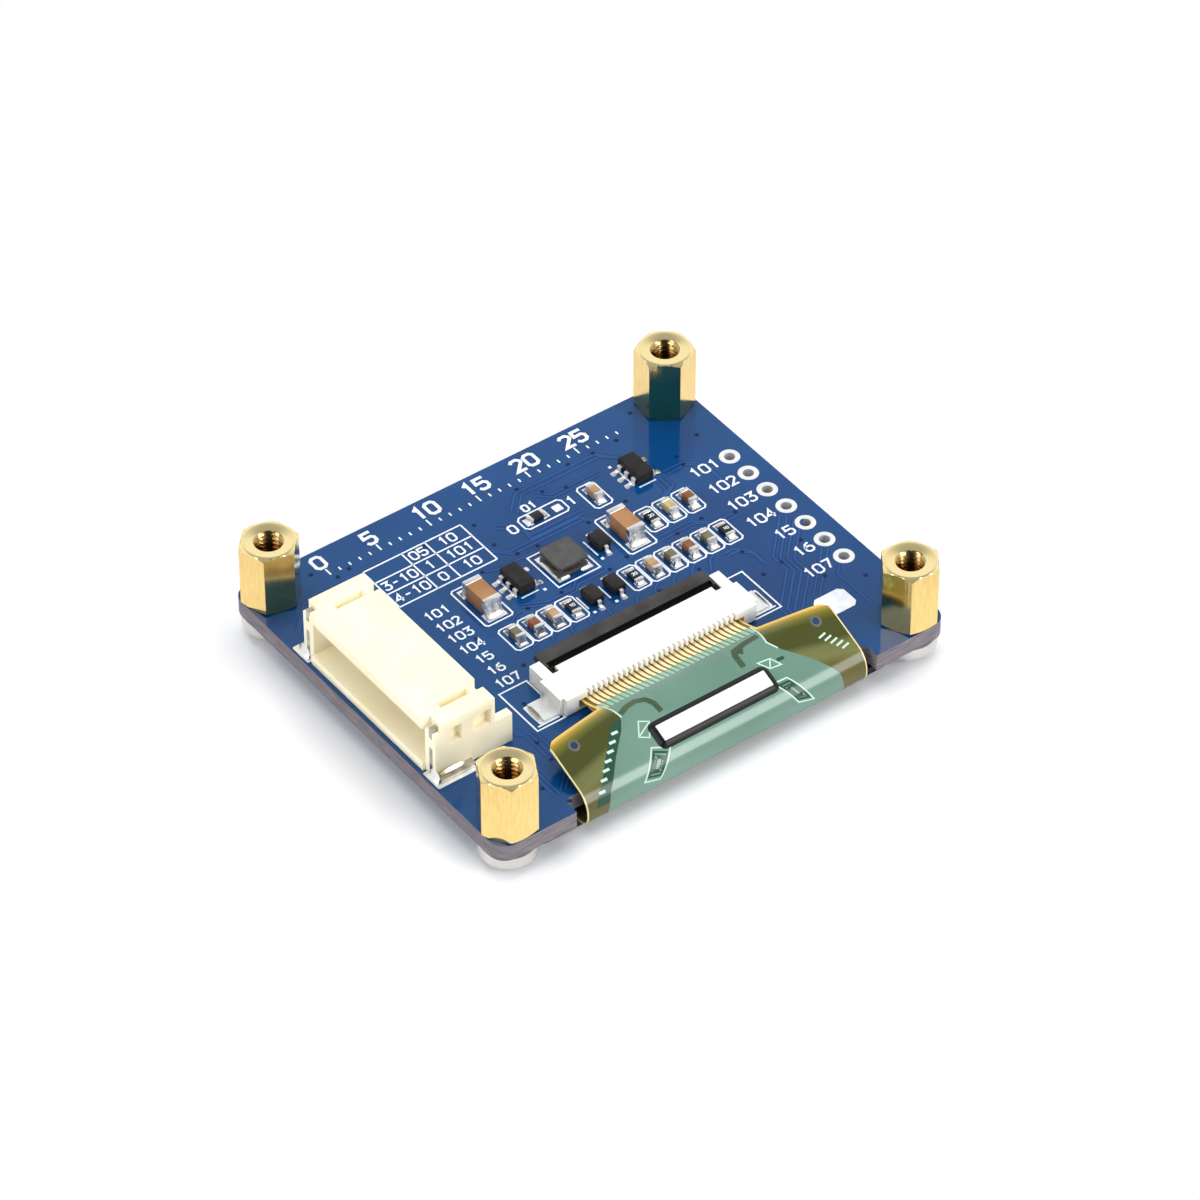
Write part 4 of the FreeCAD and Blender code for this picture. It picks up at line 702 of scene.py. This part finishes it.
screw_section = [(0, -HEAD_TALL)]
for angle in range(0, 91, 10):
    out, up = CROWN * math.sin(math.radians(angle)), CROWN * math.cos(math.radians(angle))
    screw_section.append((HEAD_RADIUS - CROWN + out, CROWN - HEAD_TALL - up))
screw_section += [(HEAD_RADIUS - 0.03, -0.04), (HEAD_RADIUS - 0.1, 0), (SHANK_RADIUS, 0),
                  (SHANK_RADIUS, SHANK_TALL - SHANK_TIP), (SHANK_RADIUS - SHANK_TIP, SHANK_TALL),
                  (0, SHANK_TALL)]
cross_cuts = [box_shape((-x, -y, -HEAD_TALL - 0.35), (x, y, RECESS_DEEP - HEAD_TALL))
              for x, y in ((RECESS_REACH, RECESS_HALF), (RECESS_HALF, RECESS_REACH))]
screws = repeat("screws", cut_away(turned_solid(screw_section), cross_cuts),
                [at(x * BOLT_X, y * BOLT_Y, BOARD_BOTTOM, 20 * x + 35 * y) for x in (-1, 1) for y in (-1, 1)],
                nickel, smooth=True)
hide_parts(*["screw_" + corner for corner in STANDOFF_TURNS])

# Wire connector.
# A cream moulded housing with a deep side mouth, seven square tinned pins, and a stamped hold-down at each
# end, soldered to its own pad.
BEVEL_ANGLE, MELT_ANGLE = math.radians(32), math.radians(0.6)
SIDE_FILLET, END_FILLET = (3.0, 0.75, 0.7), (1.4, 0.5, 0.9)
cream = finish("cream", (251, 242, 213), (246, 235, 199), 0.42, spread=0.10, patches=250, relief=0.10,
               gloss=0.25, through=(0.10, 0.5))
tinned = finish("tinned", (214, 214, 212), (186, 184, 182), 0.28, patches=1800, relief=0.2, metallic=1.0)
spring_metal = finish("spring_metal", (202, 198, 190), (158, 152, 144), 0.2, patches=1500, relief=0.2,
                      metallic=1.0)


def soften(name, radius, material, body="module", grooves=()):
    """A CAD piece with its edges rounded off by a small radius, after any grooves are cut in it."""
    work = merged_copy(name)
    if grooves:
        work.verts.index_update()
        solid = ([tuple(vertex.co / MM) for vertex in work.verts],
                 [tuple(vertex.index for vertex in face.verts) for face in work.faces])
        work.clear()
        work.from_mesh(mesh_of(name + "_cut", *cut_away(solid, grooves)))
        bmesh.ops.remove_doubles(work, verts=work.verts, dist=JOIN_DISTANCE * MM)
    bmesh.ops.dissolve_limit(work, angle_limit=MELT_ANGLE, verts=work.verts, edges=work.edges)
    edges = [edge for edge in work.edges
             if len(edge.link_faces) == 2 and edge.calc_face_angle(0) > BEVEL_ANGLE]
    bmesh.ops.bevel(work, geom=edges, offset=radius * MM, offset_type="OFFSET", segments=2, profile=0.5,
                    affect="EDGES", clamp_overlap=True)
    bmesh.ops.recalc_face_normals(work, faces=work.faces)
    mesh = bpy.data.meshes.new(name + "_soft")
    work.to_mesh(mesh)
    work.free()
    mesh.materials.append(material)
    piece = keep_piece(name + "_soft", mesh, body, True)
    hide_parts(name)
    return piece


def pad(low_x, low_y, high_x, high_y, cut=0.0):
    """A tinned pad on the board."""
    return patch(low_x, low_y, high_x, high_y, BOARD_TOP + LAYERS["pad"], cut)


def end_pads(x, y, half, near, far, cut=0.0):
    """The pads in front of a part and behind it."""
    return [pad(x - half, y + low, x + half, y + low + far - near, cut) for low in (-far, near)]


def joint(x, y, turn, size):
    """A solder fillet: its foot, the turn that points +Y off the part, and its width, reach and height."""
    return at(x, y, BOARD_TOP, turn, size)


def end_joints(x, y, reach, size):
    """The fillets in front of a part and behind it."""
    return [joint(x, y - reach, 180, size), joint(x, y + reach, 0, size)]


soften("wire_housing", 0.07, cream)
dress([f"wire_contact_{number}" for number in range(1, 8)], tinned)
dress(["hold_down_left", "hold_down_right"], spring_metal)
pads = end_pads(-20.125, 0, 1.925, 7.85, 10.1, 0.1)
pads += [pad(-14.6, y - 0.5, -13.5, y + 0.5, 0.1) for y in range(-6, 7, 2)]
joints = end_joints(-20.1, 0, 9.1, SIDE_FILLET) + [joint(-21.55, y, 90, END_FILLET) for y in (-8.9, 8.9)]

# Flat-cable connector.
# A white moulded socket with a toothed lip, a black latch that flips up on two end pins, thirty sprung
# contacts whose tails are soldered in front, and a tinned tab at each end.
LATCH_GROOVES = [((-7.95, -5.50, 5.16), (8.39, -4.98, 6.0)), ((-7.95, -6.02, 5.22), (8.39, -5.66, 6.0))]
LATCH_TOP, TAB_FILLET, TAIL_HALF = 5.47, (2.0, 0.42, 0.45), 0.14
RIBBON_MIDDLE, RIBBON_PITCH, RIBBON_COUNT = 0.22, 0.5, 30
white_nylon = finish("white_nylon", (244, 243, 238), (236, 234, 226), 0.36, spread=0.08, patches=300,
                     relief=0.08, gloss=0.25, through=(0.08, 0.4))
black_nylon = finish("black_nylon", (66, 63, 60), (46, 44, 43), 0.46, patches=500, grain=6000, relief=0.25,
                     gloss=0.25)
# The grooves' faces are near black: the latch's own dark colour deepened by painted shade inside the grooves.
groove_painted_shade = finish("groove_painted_shade", (14, 13, 13), (9, 9, 9), 0.6, patches=500, gloss=0.1)
gold_tin = finish("gold_tin", (240, 222, 176), (226, 202, 150), 0.36, patches=900, metallic=0.2)
soften("ribbon_socket", 0.045, white_nylon)
latch = soften("ribbon_latch", 0.03, black_nylon, body="latch",
               grooves=[box_shape(*corners) for corners in LATCH_GROOVES])
latch.data.materials.append(groove_painted_shade)
for face in latch.data.polygons:
    x, y, z = face.center / MM
    if any(low[0] - 0.01 < x < high[0] + 0.01 and low[1] - 0.01 < y < high[1] + 0.01
           and low[2] - 0.02 < z < LATCH_TOP for low, high in LATCH_GROOVES):
        face.material_index = 1
dress(("ribbon_tab_left", "ribbon_tab_right"), tin_bright)
dress(("ribbon_contacts",), gold_tin)
ribbon_x = [RIBBON_MIDDLE + (number - (RIBBON_COUNT - 1) / 2) * RIBBON_PITCH
            for number in range(RIBBON_COUNT)]
pads += [pad(x - TAIL_HALF, -10.7, x + TAIL_HALF, -9.6) for x in ribbon_x]
pads += [pad(low, -8.95, low + 1.9, -6.55, 0.1) for low in (-11.4, 9.95)]
joints += [joint(x, -7.75, turn, TAB_FILLET) for x, turn in ((-11.0, 90), (11.44, -90))]

# Small parts.
# Multilayer ceramic capacitors, thick-film resistors, moulded diodes and regulators on bent leads, and one
# shielded coil, all reflow-soldered to tinned pads.
TAN, BROWN = ((184, 152, 118), (158, 124, 90)), ((140, 92, 62), (112, 68, 44))
OLIVE, STRAW = ((116, 112, 88), (90, 88, 66)), ((196, 178, 122), (168, 150, 96))
CERAMICS = (OLIVE, BROWN, TAN, TAN, OLIVE, BROWN, OLIVE, STRAW, BROWN, TAN)
CHIP_ROW = ("capacitor_1", "capacitor_2", "capacitor_3", "resistor_1", "resistor_2", "capacitor_4",
            "capacitor_5", "capacitor_6", "capacitor_7", "resistor_3")
CHIP_PLACES = {name: (x, 0.4) for name, x in zip(CHIP_ROW, CHIP_ROW_X)}
CHIP_PLACES.update({"resistor_4": (10.2, 5.25), "capacitor_8": (12.1, 5.25), "capacitor_9": (14.05, 5.25),
                    "capacitor_10": (8.25, 10.35)})
CHIP_BAND, STORAGE_BAND, RESISTOR_BAND = 0.42, 0.52, 0.34
CAPACITOR_FILLET, RESISTOR_FILLET, RESISTOR_TOP = (0.86, 0.42, 0.66), (0.86, 0.42, 0.38), 4.157
STORAGE_FILLET, CROSSWISE_FILLET = (1.7, 0.62, 1.15), (0.8, 0.3, 0.38)
solder = finish("solder", (242, 242, 240), (224, 223, 220), 0.28, patches=1300, grain=3500, relief=0.22,
                metallic=1.0)
resistor_face = finish("resistor_face", (40, 40, 42), (24, 24, 26), 0.3, patches=900, gloss=0.3)


def banded(name, body_finish, band, axis=1):
    """A chip part with its ends tinned along one axis, softly rounded."""
    piece = soften(name, 0.05, body_finish)
    piece.data.materials.append(solder)
    spots = [vertex.co[axis] for vertex in piece.data.vertices]
    low, high = min(spots) + band * MM, max(spots) - band * MM
    for face in piece.data.polygons:
        if not low <= face.center[axis] <= high:
            face.material_index = 1


def fillet_shape(rows=6, columns=8):
    """A solder fillet one unit wide, long and high: hollow in front, and rounded towards its sides."""
    points = []
    for row in range(rows + 1):
        out = row / rows
        for column in range(columns + 1):
            across = 0.5 - column / columns
            points.append((across * (0.92 + 0.08 * out), out * (1 - 0.12 * (2 * across) ** 2),
                           (1 - out) ** 2.2 * (1 - (2 * across) ** 4 * 0.55)))
    return points, grid(rows + 1, columns + 1)


for number, (first, second) in enumerate(CERAMICS, 1):
    name = f"capacitor_{number}"
    ceramic = finish(name + "_ceramic", first, second, 0.42, patches=1200, relief=0.2, gloss=0.3)
    banded(name, ceramic, CHIP_BAND)
storage_ceramic = finish("storage_ceramic", (170, 126, 86), (148, 106, 68), 0.42, patches=600, relief=0.2,
                         gloss=0.3)
STORAGE_Y, STORAGE_X = 5.3, {"storage_capacitor_1": -6.78, "storage_capacitor_2": 7.65}
for name, x in STORAGE_X.items():
    banded(name, storage_ceramic, STORAGE_BAND)
    pads += end_pads(x, STORAGE_Y, 0.95, 1.2, 2.25)
    joints += end_joints(x, STORAGE_Y, 1.58, STORAGE_FILLET)
values = []
for number, (name, (x, y)) in enumerate(CHIP_PLACES.items()):
    size = CAPACITOR_FILLET
    if name.startswith("resistor"):
        size = RESISTOR_FILLET
        banded(name, resistor_face, RESISTOR_BAND)
        values.append(word("10" if number % 2 else "20", x - 0.20, y - 0.14, 0.28, RESISTOR_TOP, weight=0.07))
    pads += end_pads(x, y, 0.45, 0.5, 1.2)
    joints += end_joints(x, y, 0.78, size)

# The fifth resistor lies across, beside an empty pad.
x, y = 2.75, 10.95
banded("resistor_5", resistor_face, RESISTOR_BAND, axis=0)
pads += [pad(x + low, y - 0.45, x + low + 0.62, y + 0.45) for low in (-1.12, 0.5)]
joints += [joint(x + way * 0.79, y, -90 * way, CROSSWISE_FILLET) for way in (-1, 1)]
pads.append(pad(4.5, 10.55, 5.3, 11.35, 0.05))
new_piece("resistor_values", gather(values), white_ink)

mould_black = finish("mould_black", (42, 40, 39), (30, 29, 28), 0.55, patches=900, grain=7000, relief=0.4,
                     gloss=0.2)
DIODES = {"diode_1": (0.63, 0.4), "diode_2": (2.83, 0.4), "diode_3": (5.0, 5.35)}
REGULATORS = {"regulator_1": (-3.1, 5.5), "regulator_2": (12.65, 10.6)}
DIODE_FILLET, LEAD_FILLET = (0.5, 0.36, 0.2), (0.52, 0.58, 0.27)
LEAD_STEPS = ((-1, (-0.95, 0, 0.95)), (1, (-0.95, 0.95)))
for name, (x, y) in DIODES.items():
    soften(name + "_case", 0.05, mould_black)
    joints += end_joints(x, y, 1.25, DIODE_FILLET)
for name, (x, y) in REGULATORS.items():
    soften(name + "_case", 0.06, mould_black)
    joints += [joint(x + way * 1.2, y + step, -90 * way, LEAD_FILLET)
               for way, steps in LEAD_STEPS for step in steps]
dress([name + "_leads" for name in (*DIODES, *REGULATORS)], tin_bright)

ferrite = finish("ferrite_grey", (84, 84, 82), (70, 70, 69), 0.66, patches=1100, grain=6000, relief=0.5,
                 gloss=0.2)
wound = finish("wound_copper", (74, 52, 34), (50, 34, 24), 0.4, patches=800, grain=3000, relief=0.4,
               stretch=(0.2, 0.2, 6))
COIL_SIDE_FILLET, COIL_FRONT_FILLET = (2.4, 0.22, 0.3), (0.9, 0.22, 0.28)
soften("inductor_core", 0.06, ferrite)
dress(("inductor_winding",), wound)
pads += [pad(low, 3.5, low + 1.1, 7.0) for low in (-0.35, 1.98)]
joints += [joint(x, 5.27, turn, COIL_SIDE_FILLET) for x, turn in ((-0.1, 90), (2.84, -90))]
joints += [joint(x, 3.8, 180, COIL_FRONT_FILLET) for x in (0.4, 2.4)]
new_piece("solder_pads", gather(pads), tin_bright)
repeat("solder_joints", fillet_shape(), joints, solder, smooth=True)

# Folded flexible circuit.
# Amber polyimide film with gold contact fingers, a green cover over its middle, two pinholed wings, and a
# fold through the board's notch down to the glass ledge.
FILM_MIDDLE, FILM_HALF, NECK_HALF, FILM_THICK = 0.22, 13.9, 7.9, 0.1
FILM_CORNERS = [(-7.3, 4.55), (-9.8, 4.55), (-13.0, 5.83), (-18.25, 3.7), (-18.25, 0.95), (-15.3, 0.95)]
FILM_BENDS = [4.0, 2.2, 2.0, 1.1]
STRAIGHT_STEP, BEND_DEGREES, FILM_STEP, DRAWN_STEP = 0.3, 4, 0.2, 0.22


def film_route():
    """Points of the film's middle line as (deep, up, way deep, way up), close together in its bends."""
    corners = [Vector(corner) for corner in FILM_CORNERS]
    route, here = [], corners[0]
    for corner, after, bend in zip(corners[1:], corners[2:], FILM_BENDS):
        before = (corner - here).normalized()
        following = (after - corner).normalized()
        turn = before.angle_signed(following)
        reach = bend * math.tan(abs(turn) / 2)
        start, end = corner - before * reach, corner + following * reach
        count = max(int((start - here).length / STRAIGHT_STEP), 1)
        route += [(*(here + (start - here) * step / count), *before) for step in range(count)]
        side = 1 if turn < 0 else -1
        centre = start + Vector((-before.y, before.x)) * bend * side
        bows = max(int(abs(math.degrees(turn)) / BEND_DEGREES), 2)
        for step in range(bows):
            spin = Matrix.Rotation(-turn * step / bows, 2)
            route.append((*(centre + spin @ (start - centre)), *(spin @ before)))
        here = end
    count = 12
    route += [(*(here + (corners[-1] - here) * step / count), *following) for step in range(count + 1)]
    return route


route = film_route()
lengths = [0.0]
for before, after in zip(route, route[1:]):
    lengths.append(lengths[-1] + math.hypot(after[0] - before[0], after[1] - before[1]))
FILM_END = lengths[-1]
FOLD = next(length for length, spot in zip(lengths, route) if spot[0] < -18.1)


def along_film(deep):
    """How far along the film, from its end in the connector, it passes that depth on its upper side."""
    for number in range(len(route) - 1):
        if route[number + 1][0] <= deep:
            share = (route[number][0] - deep) / max(route[number][0] - route[number + 1][0], 1e-9)
            return lengths[number] + share * (lengths[number + 1] - lengths[number])
    return FOLD


def on_film(x, length, lift):
    """A point lifted off the film's middle line, on its outer side when lift is above zero."""
    length = min(max(length, 0.0), FILM_END)
    number = next((n for n in range(len(lengths) - 1) if lengths[n + 1] >= length), len(lengths) - 2)
    share = (length - lengths[number]) / (lengths[number + 1] - lengths[number])
    deep, up, way_deep, way_up = (a + (b - a) * share for a, b in zip(route[number], route[number + 1]))
    size = math.hypot(way_deep, way_up)
    return x, deep + way_up / size * lift, up - way_deep / size * lift


def film_lengths(start, end):
    """The film's own steps between two lengths, both ends included, with no step over 0.2 mm."""
    stops = sorted({start, end} | {length for length in lengths if start < length < end})
    dense = [stops[0]]
    for stop in stops[1:]:
        begin = dense[-1]
        count = max(math.ceil((stop - begin) / FILM_STEP), 1)
        dense += [begin + (stop - begin) * step / count for step in range(1, count + 1)]
    return dense


def sides_at(stops, length):
    """The left and right x at a length, read off between (length, left x, right x) stops."""
    for (start, left, right), (end, left_end, right_end) in zip(stops, stops[1:]):
        if length <= end + 1e-6:
            share = (length - start) / max(end - start, 1e-6)
            return left + (left_end - left) * share, right + (right_end - right) * share
    return stops[-1][1:]


def laid(stops, lift, across=1):
    """A patch laid on the film between its side lines, through (length, left x, right x) stops."""
    points = []
    steps = film_lengths(stops[0][0], stops[-1][0])
    for length in steps:
        left, right = sides_at(stops, length)
        points += [on_film(left + (right - left) * column / across, length, lift)
                   for column in range(across + 1)]
    return points, grid(len(steps), across + 1)


# The film's colour changes with the distance inside its wings' edge beside the connector, and its long rims
# are pale.
# Its amber and olive carry painted light: a painted glow at that edge, a band darkened by a painted
# reflection of something dark, a pale band of painted reflection before the fold, and a painted highlight
# along the long rims.
amber = finish("amber_film", (150, 130, 40), (120, 100, 26), 0.19, spread=0.05, patches=160, relief=0.04)
WING_SLOPE, WING_START, WING_DEEP, PATCH_SHARE = 0.2075, -11.5, 8.0, 0.08
# The pale colour along the film's long rims is a painted highlight.
RIM_HIGHLIGHT_WIDE, RIM_HIGHLIGHT_COLOUR = 0.12, (222, 206, 150)
# Stops to 0.06 are a painted glow at the edge, 0.20 to 0.40 olive darkened by a painted dark reflection, and
# 0.47 to 0.58 a pale painted reflection.
WING_COLOURS_AND_REFLECTIONS = [(0.0, (246, 204, 100)), (0.025, (230, 180, 68)), (0.06, (160, 134, 34)), (0.12, (98, 96, 20)),
                (0.20, (50, 60, 12)), (0.40, (50, 60, 14)), (0.47, (96, 102, 58)), (0.58, (104, 108, 62)),
                (0.67, (74, 72, 20)), (0.80, (90, 80, 18)), (1.0, (84, 72, 16))]
tree, colour, plain = coloured_by(amber)
across = maths(tree, "ABSOLUTE", maths(tree, "SUBTRACT", coordinate(tree, 0), FILM_MIDDLE * MM))
edge = maths(tree, "MULTIPLY_ADD", across, -WING_SLOPE, (WING_START + WING_SLOPE * NECK_HALF) * MM)
inward = span(tree, maths(tree, "SUBTRACT", edge, coordinate(tree, 1)), 0.0, WING_DEEP * MM)
wings = node(tree, "ShaderNodeValToRGB", inward)
bands = wings.node.color_ramp.elements
while len(bands) < len(WING_COLOURS_AND_REFLECTIONS):
    bands.new(0.5)
for band, (position, band_colour) in zip(bands, WING_COLOURS_AND_REFLECTIONS):
    band.position = position
    band.color = srgb(*band_colour)
rim_highlight = maths(tree, "GREATER_THAN", across, (FILM_HALF - RIM_HIGHLIGHT_WIDE) * MM)
tree.links.new(mixed(tree, rim_highlight, mixed(tree, PATCH_SHARE, wings, plain), srgb(*RIM_HIGHLIGHT_COLOUR)), colour)

# The film is one closed sheet: both faces, a rim round them, and two pinholes drilled through.
SKIN, FILM_COLUMNS = FILM_THICK / 2, 40
PINHOLES, PINHOLE_RADIUS = ((-11.78, -13.9), (12.22, -13.9)), 0.3
PIN_RING, DRILL_SPAN = (0.5, 0.29), (3.9, 7.0)
sides = [(length, FILM_MIDDLE - half, FILM_MIDDLE + half) for length, half in
         ((0.0, NECK_HALF), (along_film(WING_START), NECK_HALF), (along_film(-12.6), 13.2),
          (along_film(-13.3), FILM_HALF), (FILM_END, FILM_HALF))]
points, faces = laid(sides, SKIN, FILM_COLUMNS)
under_points, under_faces = laid(sides, -SKIN, FILM_COLUMNS)
below, row = len(points), FILM_COLUMNS + 1
edge_round = [*range(row), *range(2 * row - 1, below, row), *range(below - 2, below - row - 1, -1),
              *range(below - 2 * row, 0, -row)]
faces += [tuple(below + corner for corner in reversed(face)) for face in under_faces]
faces += [(here, after, after + below, here + below)
          for here, after in zip(edge_round, edge_round[1:] + edge_round[:1])]
drill_low, drill_high = DRILL_SPAN
drill_points, drill_faces = turned_solid([(0, drill_low), (PINHOLE_RADIUS, drill_low),
                                          (PINHOLE_RADIUS, drill_high), (0, drill_high)], 20)
drills = [([(x + px, y + py, z) for px, py, z in drill_points], drill_faces) for x, y in PINHOLES]
film = new_piece("film", cut_away((points + under_points, faces), drills), amber, smooth=True)
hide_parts("display_flex")

# What lies on the film is drawn on it layer by layer: its green cover, its copper fingers and its marks.
TOP = SKIN + 0.012
COVER_START, COVER_END = along_film(-10.95), FOLD + 2.4
FINGER_START, FINGER_END, FINGER_HALF = along_film(-9.2) - 1.2, along_film(-12.05), 0.155
FILM_LAYERS = {
    "gaps": finish("finger_gap", (128, 102, 54), (104, 82, 42), 0.4, patches=900, gloss=0.2),
    "green": finish("cover_green", (104, 138, 122), (91, 126, 110), 0.19, spread=0.06, patches=110,
                    relief=0.04, gloss=0.62),
    "lines": finish("cover_line", (92, 130, 108), (84, 120, 100), 0.3, patches=300, gloss=0.3),
    "light": finish("cover_light", (196, 226, 208), (178, 210, 192), 0.35, patches=300, gloss=0.3),
    "dark": finish("cover_dark", (34, 74, 54), (28, 62, 46), 0.25, patches=300, gloss=0.4),
    "bracket": finish("bracket_olive", (70, 90, 64), (58, 76, 54), 0.28, patches=300, gloss=0.3),
    # The fingers' pale gold on a non-metal finish is partly their gold colour and partly a painted
    # reflection.
    "gold": finish("finger_gold_painted_sheen", (252, 234, 186), (246, 222, 166), 0.32, patches=500, gloss=0.4),
    "stripe": finish("finger_green", (160, 200, 172), (142, 184, 158), 0.3, patches=500, gloss=0.3),
}
layers = {layer: [] for layer in FILM_LAYERS}


def marked(corners):
    """Corners given as (x, depth) on the film, as (x, length)."""
    return [(x, along_film(deep)) for x, deep in corners]


def draw(layer, corners, width, lift, closed=False):
    """A line drawn on the film through (x, length) corners, in steps short enough to follow its bends."""
    ends = corners + corners[:1] if closed else corners
    line = [ends[0]]
    for start, end in zip(ends, ends[1:]):
        count = max(math.ceil(math.dist(start, end) / DRAWN_STEP), 1)
        line += [tuple(a + (b - a) * step / count for a, b in zip(start, end))
                 for step in range(1, count + 1)]
    points, faces = stroke(line[:-1] if closed else line, width, 0, closed)
    layers[layer].append(([on_film(x, length, TOP + lift) for x, length, _ in points],
                          [face[::-1] for face in faces]))


COVER_SIDES = ((-13.7, -7.05, 7.55), (-14.5, -7.6, 8.1), (-16.2, -9.4, 9.85), (-18.0, -11.3, 11.5))
STRIP_SIDES = ((-13.7, -8.1, -7.08), (-14.5, -8.75, -7.63), (-16.2, -10.5, -9.43), (-18.0, -12.45, -11.33))
cover, strip = ([(along_film(deep), left, right) for deep, left, right in stops]
                for stops in (COVER_SIDES, STRIP_SIDES))
cover = [(COVER_START, -7.5, 7.95), *cover, (COVER_END, -11.9, 12.0)]
layers["green"].append(laid(cover, TOP, 16))
layers["dark"].append(laid([*strip, (FOLD + 0.5, -12.8, -11.6)], TOP + 0.004, 2))
for number in range(7):
    x, deep = -8.25 - number * 0.62, -14.45 - number * 0.56
    draw("light", [(x - 0.30, along_film(deep)), (x + 0.30, along_film(deep - 0.02))], 0.24, 0.010)
for number in range(5):
    x, deep = 11.55 + number * 0.30, -15.2 - number * 0.38
    draw("light", marked([(x, deep), (x + 0.75, deep + 0.16)]), 0.17, 0.006)
for corners in ([(-7.4, -11.0), (-6.95, -13.65)], [(7.85, -11.0), (7.45, -13.6), (8.0, -14.4)]):
    draw("light", marked(corners), 0.13, 0.008)
BRACKETS = [(0.46, [(-6.85, -13.35), (-6.0, -13.0), (-5.1, -12.9), (-4.3, -13.2), (-3.9, -13.8),
                    (-3.75, -14.6)]),
            (0.5, [(7.3, -12.65), (5.9, -12.75), (4.7, -13.0), (4.45, -13.5), (4.5, -14.5)]),
            (0.5, [(4.7, -13.0), (5.3, -13.4)])]
for width, corners in BRACKETS:
    draw("bracket", marked(corners), width, 0.022)
for number in range(26):
    x = -3.5 + number * 0.29
    start = -12.4 - 0.5 * (number * 7 % 5) / 4
    draw("lines", marked([(x, start), (x, -13.9), (x * 0.93 + 0.08, -14.9)]), 0.07, 0.004)

# Two plugged openings past the chip, four-sided, with darker lines drawn round inside them.
PLUGS = [[(-6.35, -16.75), (-4.95, -17.35), (-6.6, -18.2), (-8.1, -17.75)],
         [(5.75, -16.7), (7.1, -16.75), (8.7, -18.0), (7.2, -18.1)]]
for corners in PLUGS:
    plug = marked(corners[:2]) + [(corners[2][0], FOLD + 0.75), (corners[3][0], FOLD + 0.35)]
    draw("light", plug, 0.13, 0.008, True)
    centre = [sum(corner[axis] for corner in plug) / 4 for axis in (0, 1)]
    for size, width in ((0.72, 0.18), (0.42, 0.30)):
        draw("dark", [tuple(c + (end - c) * size for c, end in zip(centre, corner)) for corner in plug],
             width, 0.006, True)
for corners in ([(-5.95, -14.5), (-5.15, -14.9), (-5.95, -16.0), (-6.7, -15.6)],
                [(5.7, -14.75), (6.85, -14.85), (7.4, -15.65), (6.35, -15.55)]):
    draw("light", marked(corners), 0.11, 0.008, True)
    draw("light", marked([corners[1], corners[3]]), 0.11, 0.008)
draw("dark", marked([(7.3, -15.2), (7.95, -15.25)]), 0.3, 0.006)
layers["gaps"].append(laid([(FINGER_START, -7.5, 7.95), (COVER_START, -7.5, 7.95)], TOP - 0.004, 8))
for layer, start, end in (("gold", FINGER_START, COVER_START), ("stripe", COVER_START, FINGER_END)):
    layers[layer] += [laid([(stop, x - FINGER_HALF, x + FINGER_HALF) for stop in (start, end)], TOP + 0.01)
                      for x in ribbon_x]
for layer, material in FILM_LAYERS.items():
    new_piece("film_" + layer, gather(layers[layer]), material, smooth=True)
pin_finish = finish("pinhole_ring", (104, 102, 96), (84, 82, 80), 0.4, patches=500, gloss=0.3)
ring_points, ring_faces = turned([(radius, 0) for radius in PIN_RING], 24)
pin_rings = [([on_film(x + px, along_film(deep + py), TOP + 0.01) for px, py, _ in ring_points], ring_faces)
             for x, deep in PINHOLES]
new_piece("pinhole_rings", gather(pin_rings), pin_finish)

# Driver chip.
# A bare polished die bonded face down on the film, sealed round its edge with a bead of black resin.
CHIP_DEEP, BEAD_HALF, BEAD_CORNER, BEAD_RISE = -16.2, (5.95, 1.28), 0.66, 0.36
DIE_HALF, DIE_CORNER = (5.36, 0.71), 0.06
BEAD_SIDES, BEAD_STEPS, BEAD_BOW = 96, 5, 0.60
# The die's near-white colour on a mostly non-metal finish is a painted reflection of bright surroundings,
# standing in for its polished mirror face.
die = finish("die", (240, 241, 243), (232, 234, 237), 0.22, spread=0.05, patches=60, relief=0.02,
             metallic=0.3)
bead = finish("bead", (13, 13, 14), (8, 8, 9), 0.36, relief=0.3, gloss=0.25)
soften("driver_chip", 0.03, die)
chip_length = along_film(CHIP_DEEP)
points = []
for number in range(BEAD_SIDES):
    angle = 2 * math.pi * number / BEAD_SIDES
    ways = (math.cos(angle), math.sin(angle))
    outer, inner = ([math.copysign(half - corner, way) + corner * way for half, way in zip(halves, ways)]
                    for halves, corner in ((BEAD_HALF, BEAD_CORNER), (DIE_HALF, DIE_CORNER)))
    for step in range(BEAD_STEPS, -1, -1):
        share = step / BEAD_STEPS
        x, along = (a + (b - a) * (1 - (1 - share) ** 1.4) for a, b in zip(outer, inner))
        rise = BEAD_RISE * math.sin(share * math.pi * BEAD_BOW)
        points.append(on_film(FILM_MIDDLE + x, chip_length + along, SKIN + rise))
resin_bead = new_piece("resin_bead", (points, grid(BEAD_SIDES, BEAD_STEPS + 1, True)), bead,
                       smooth=True)
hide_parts("chip_resin")

low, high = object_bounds()
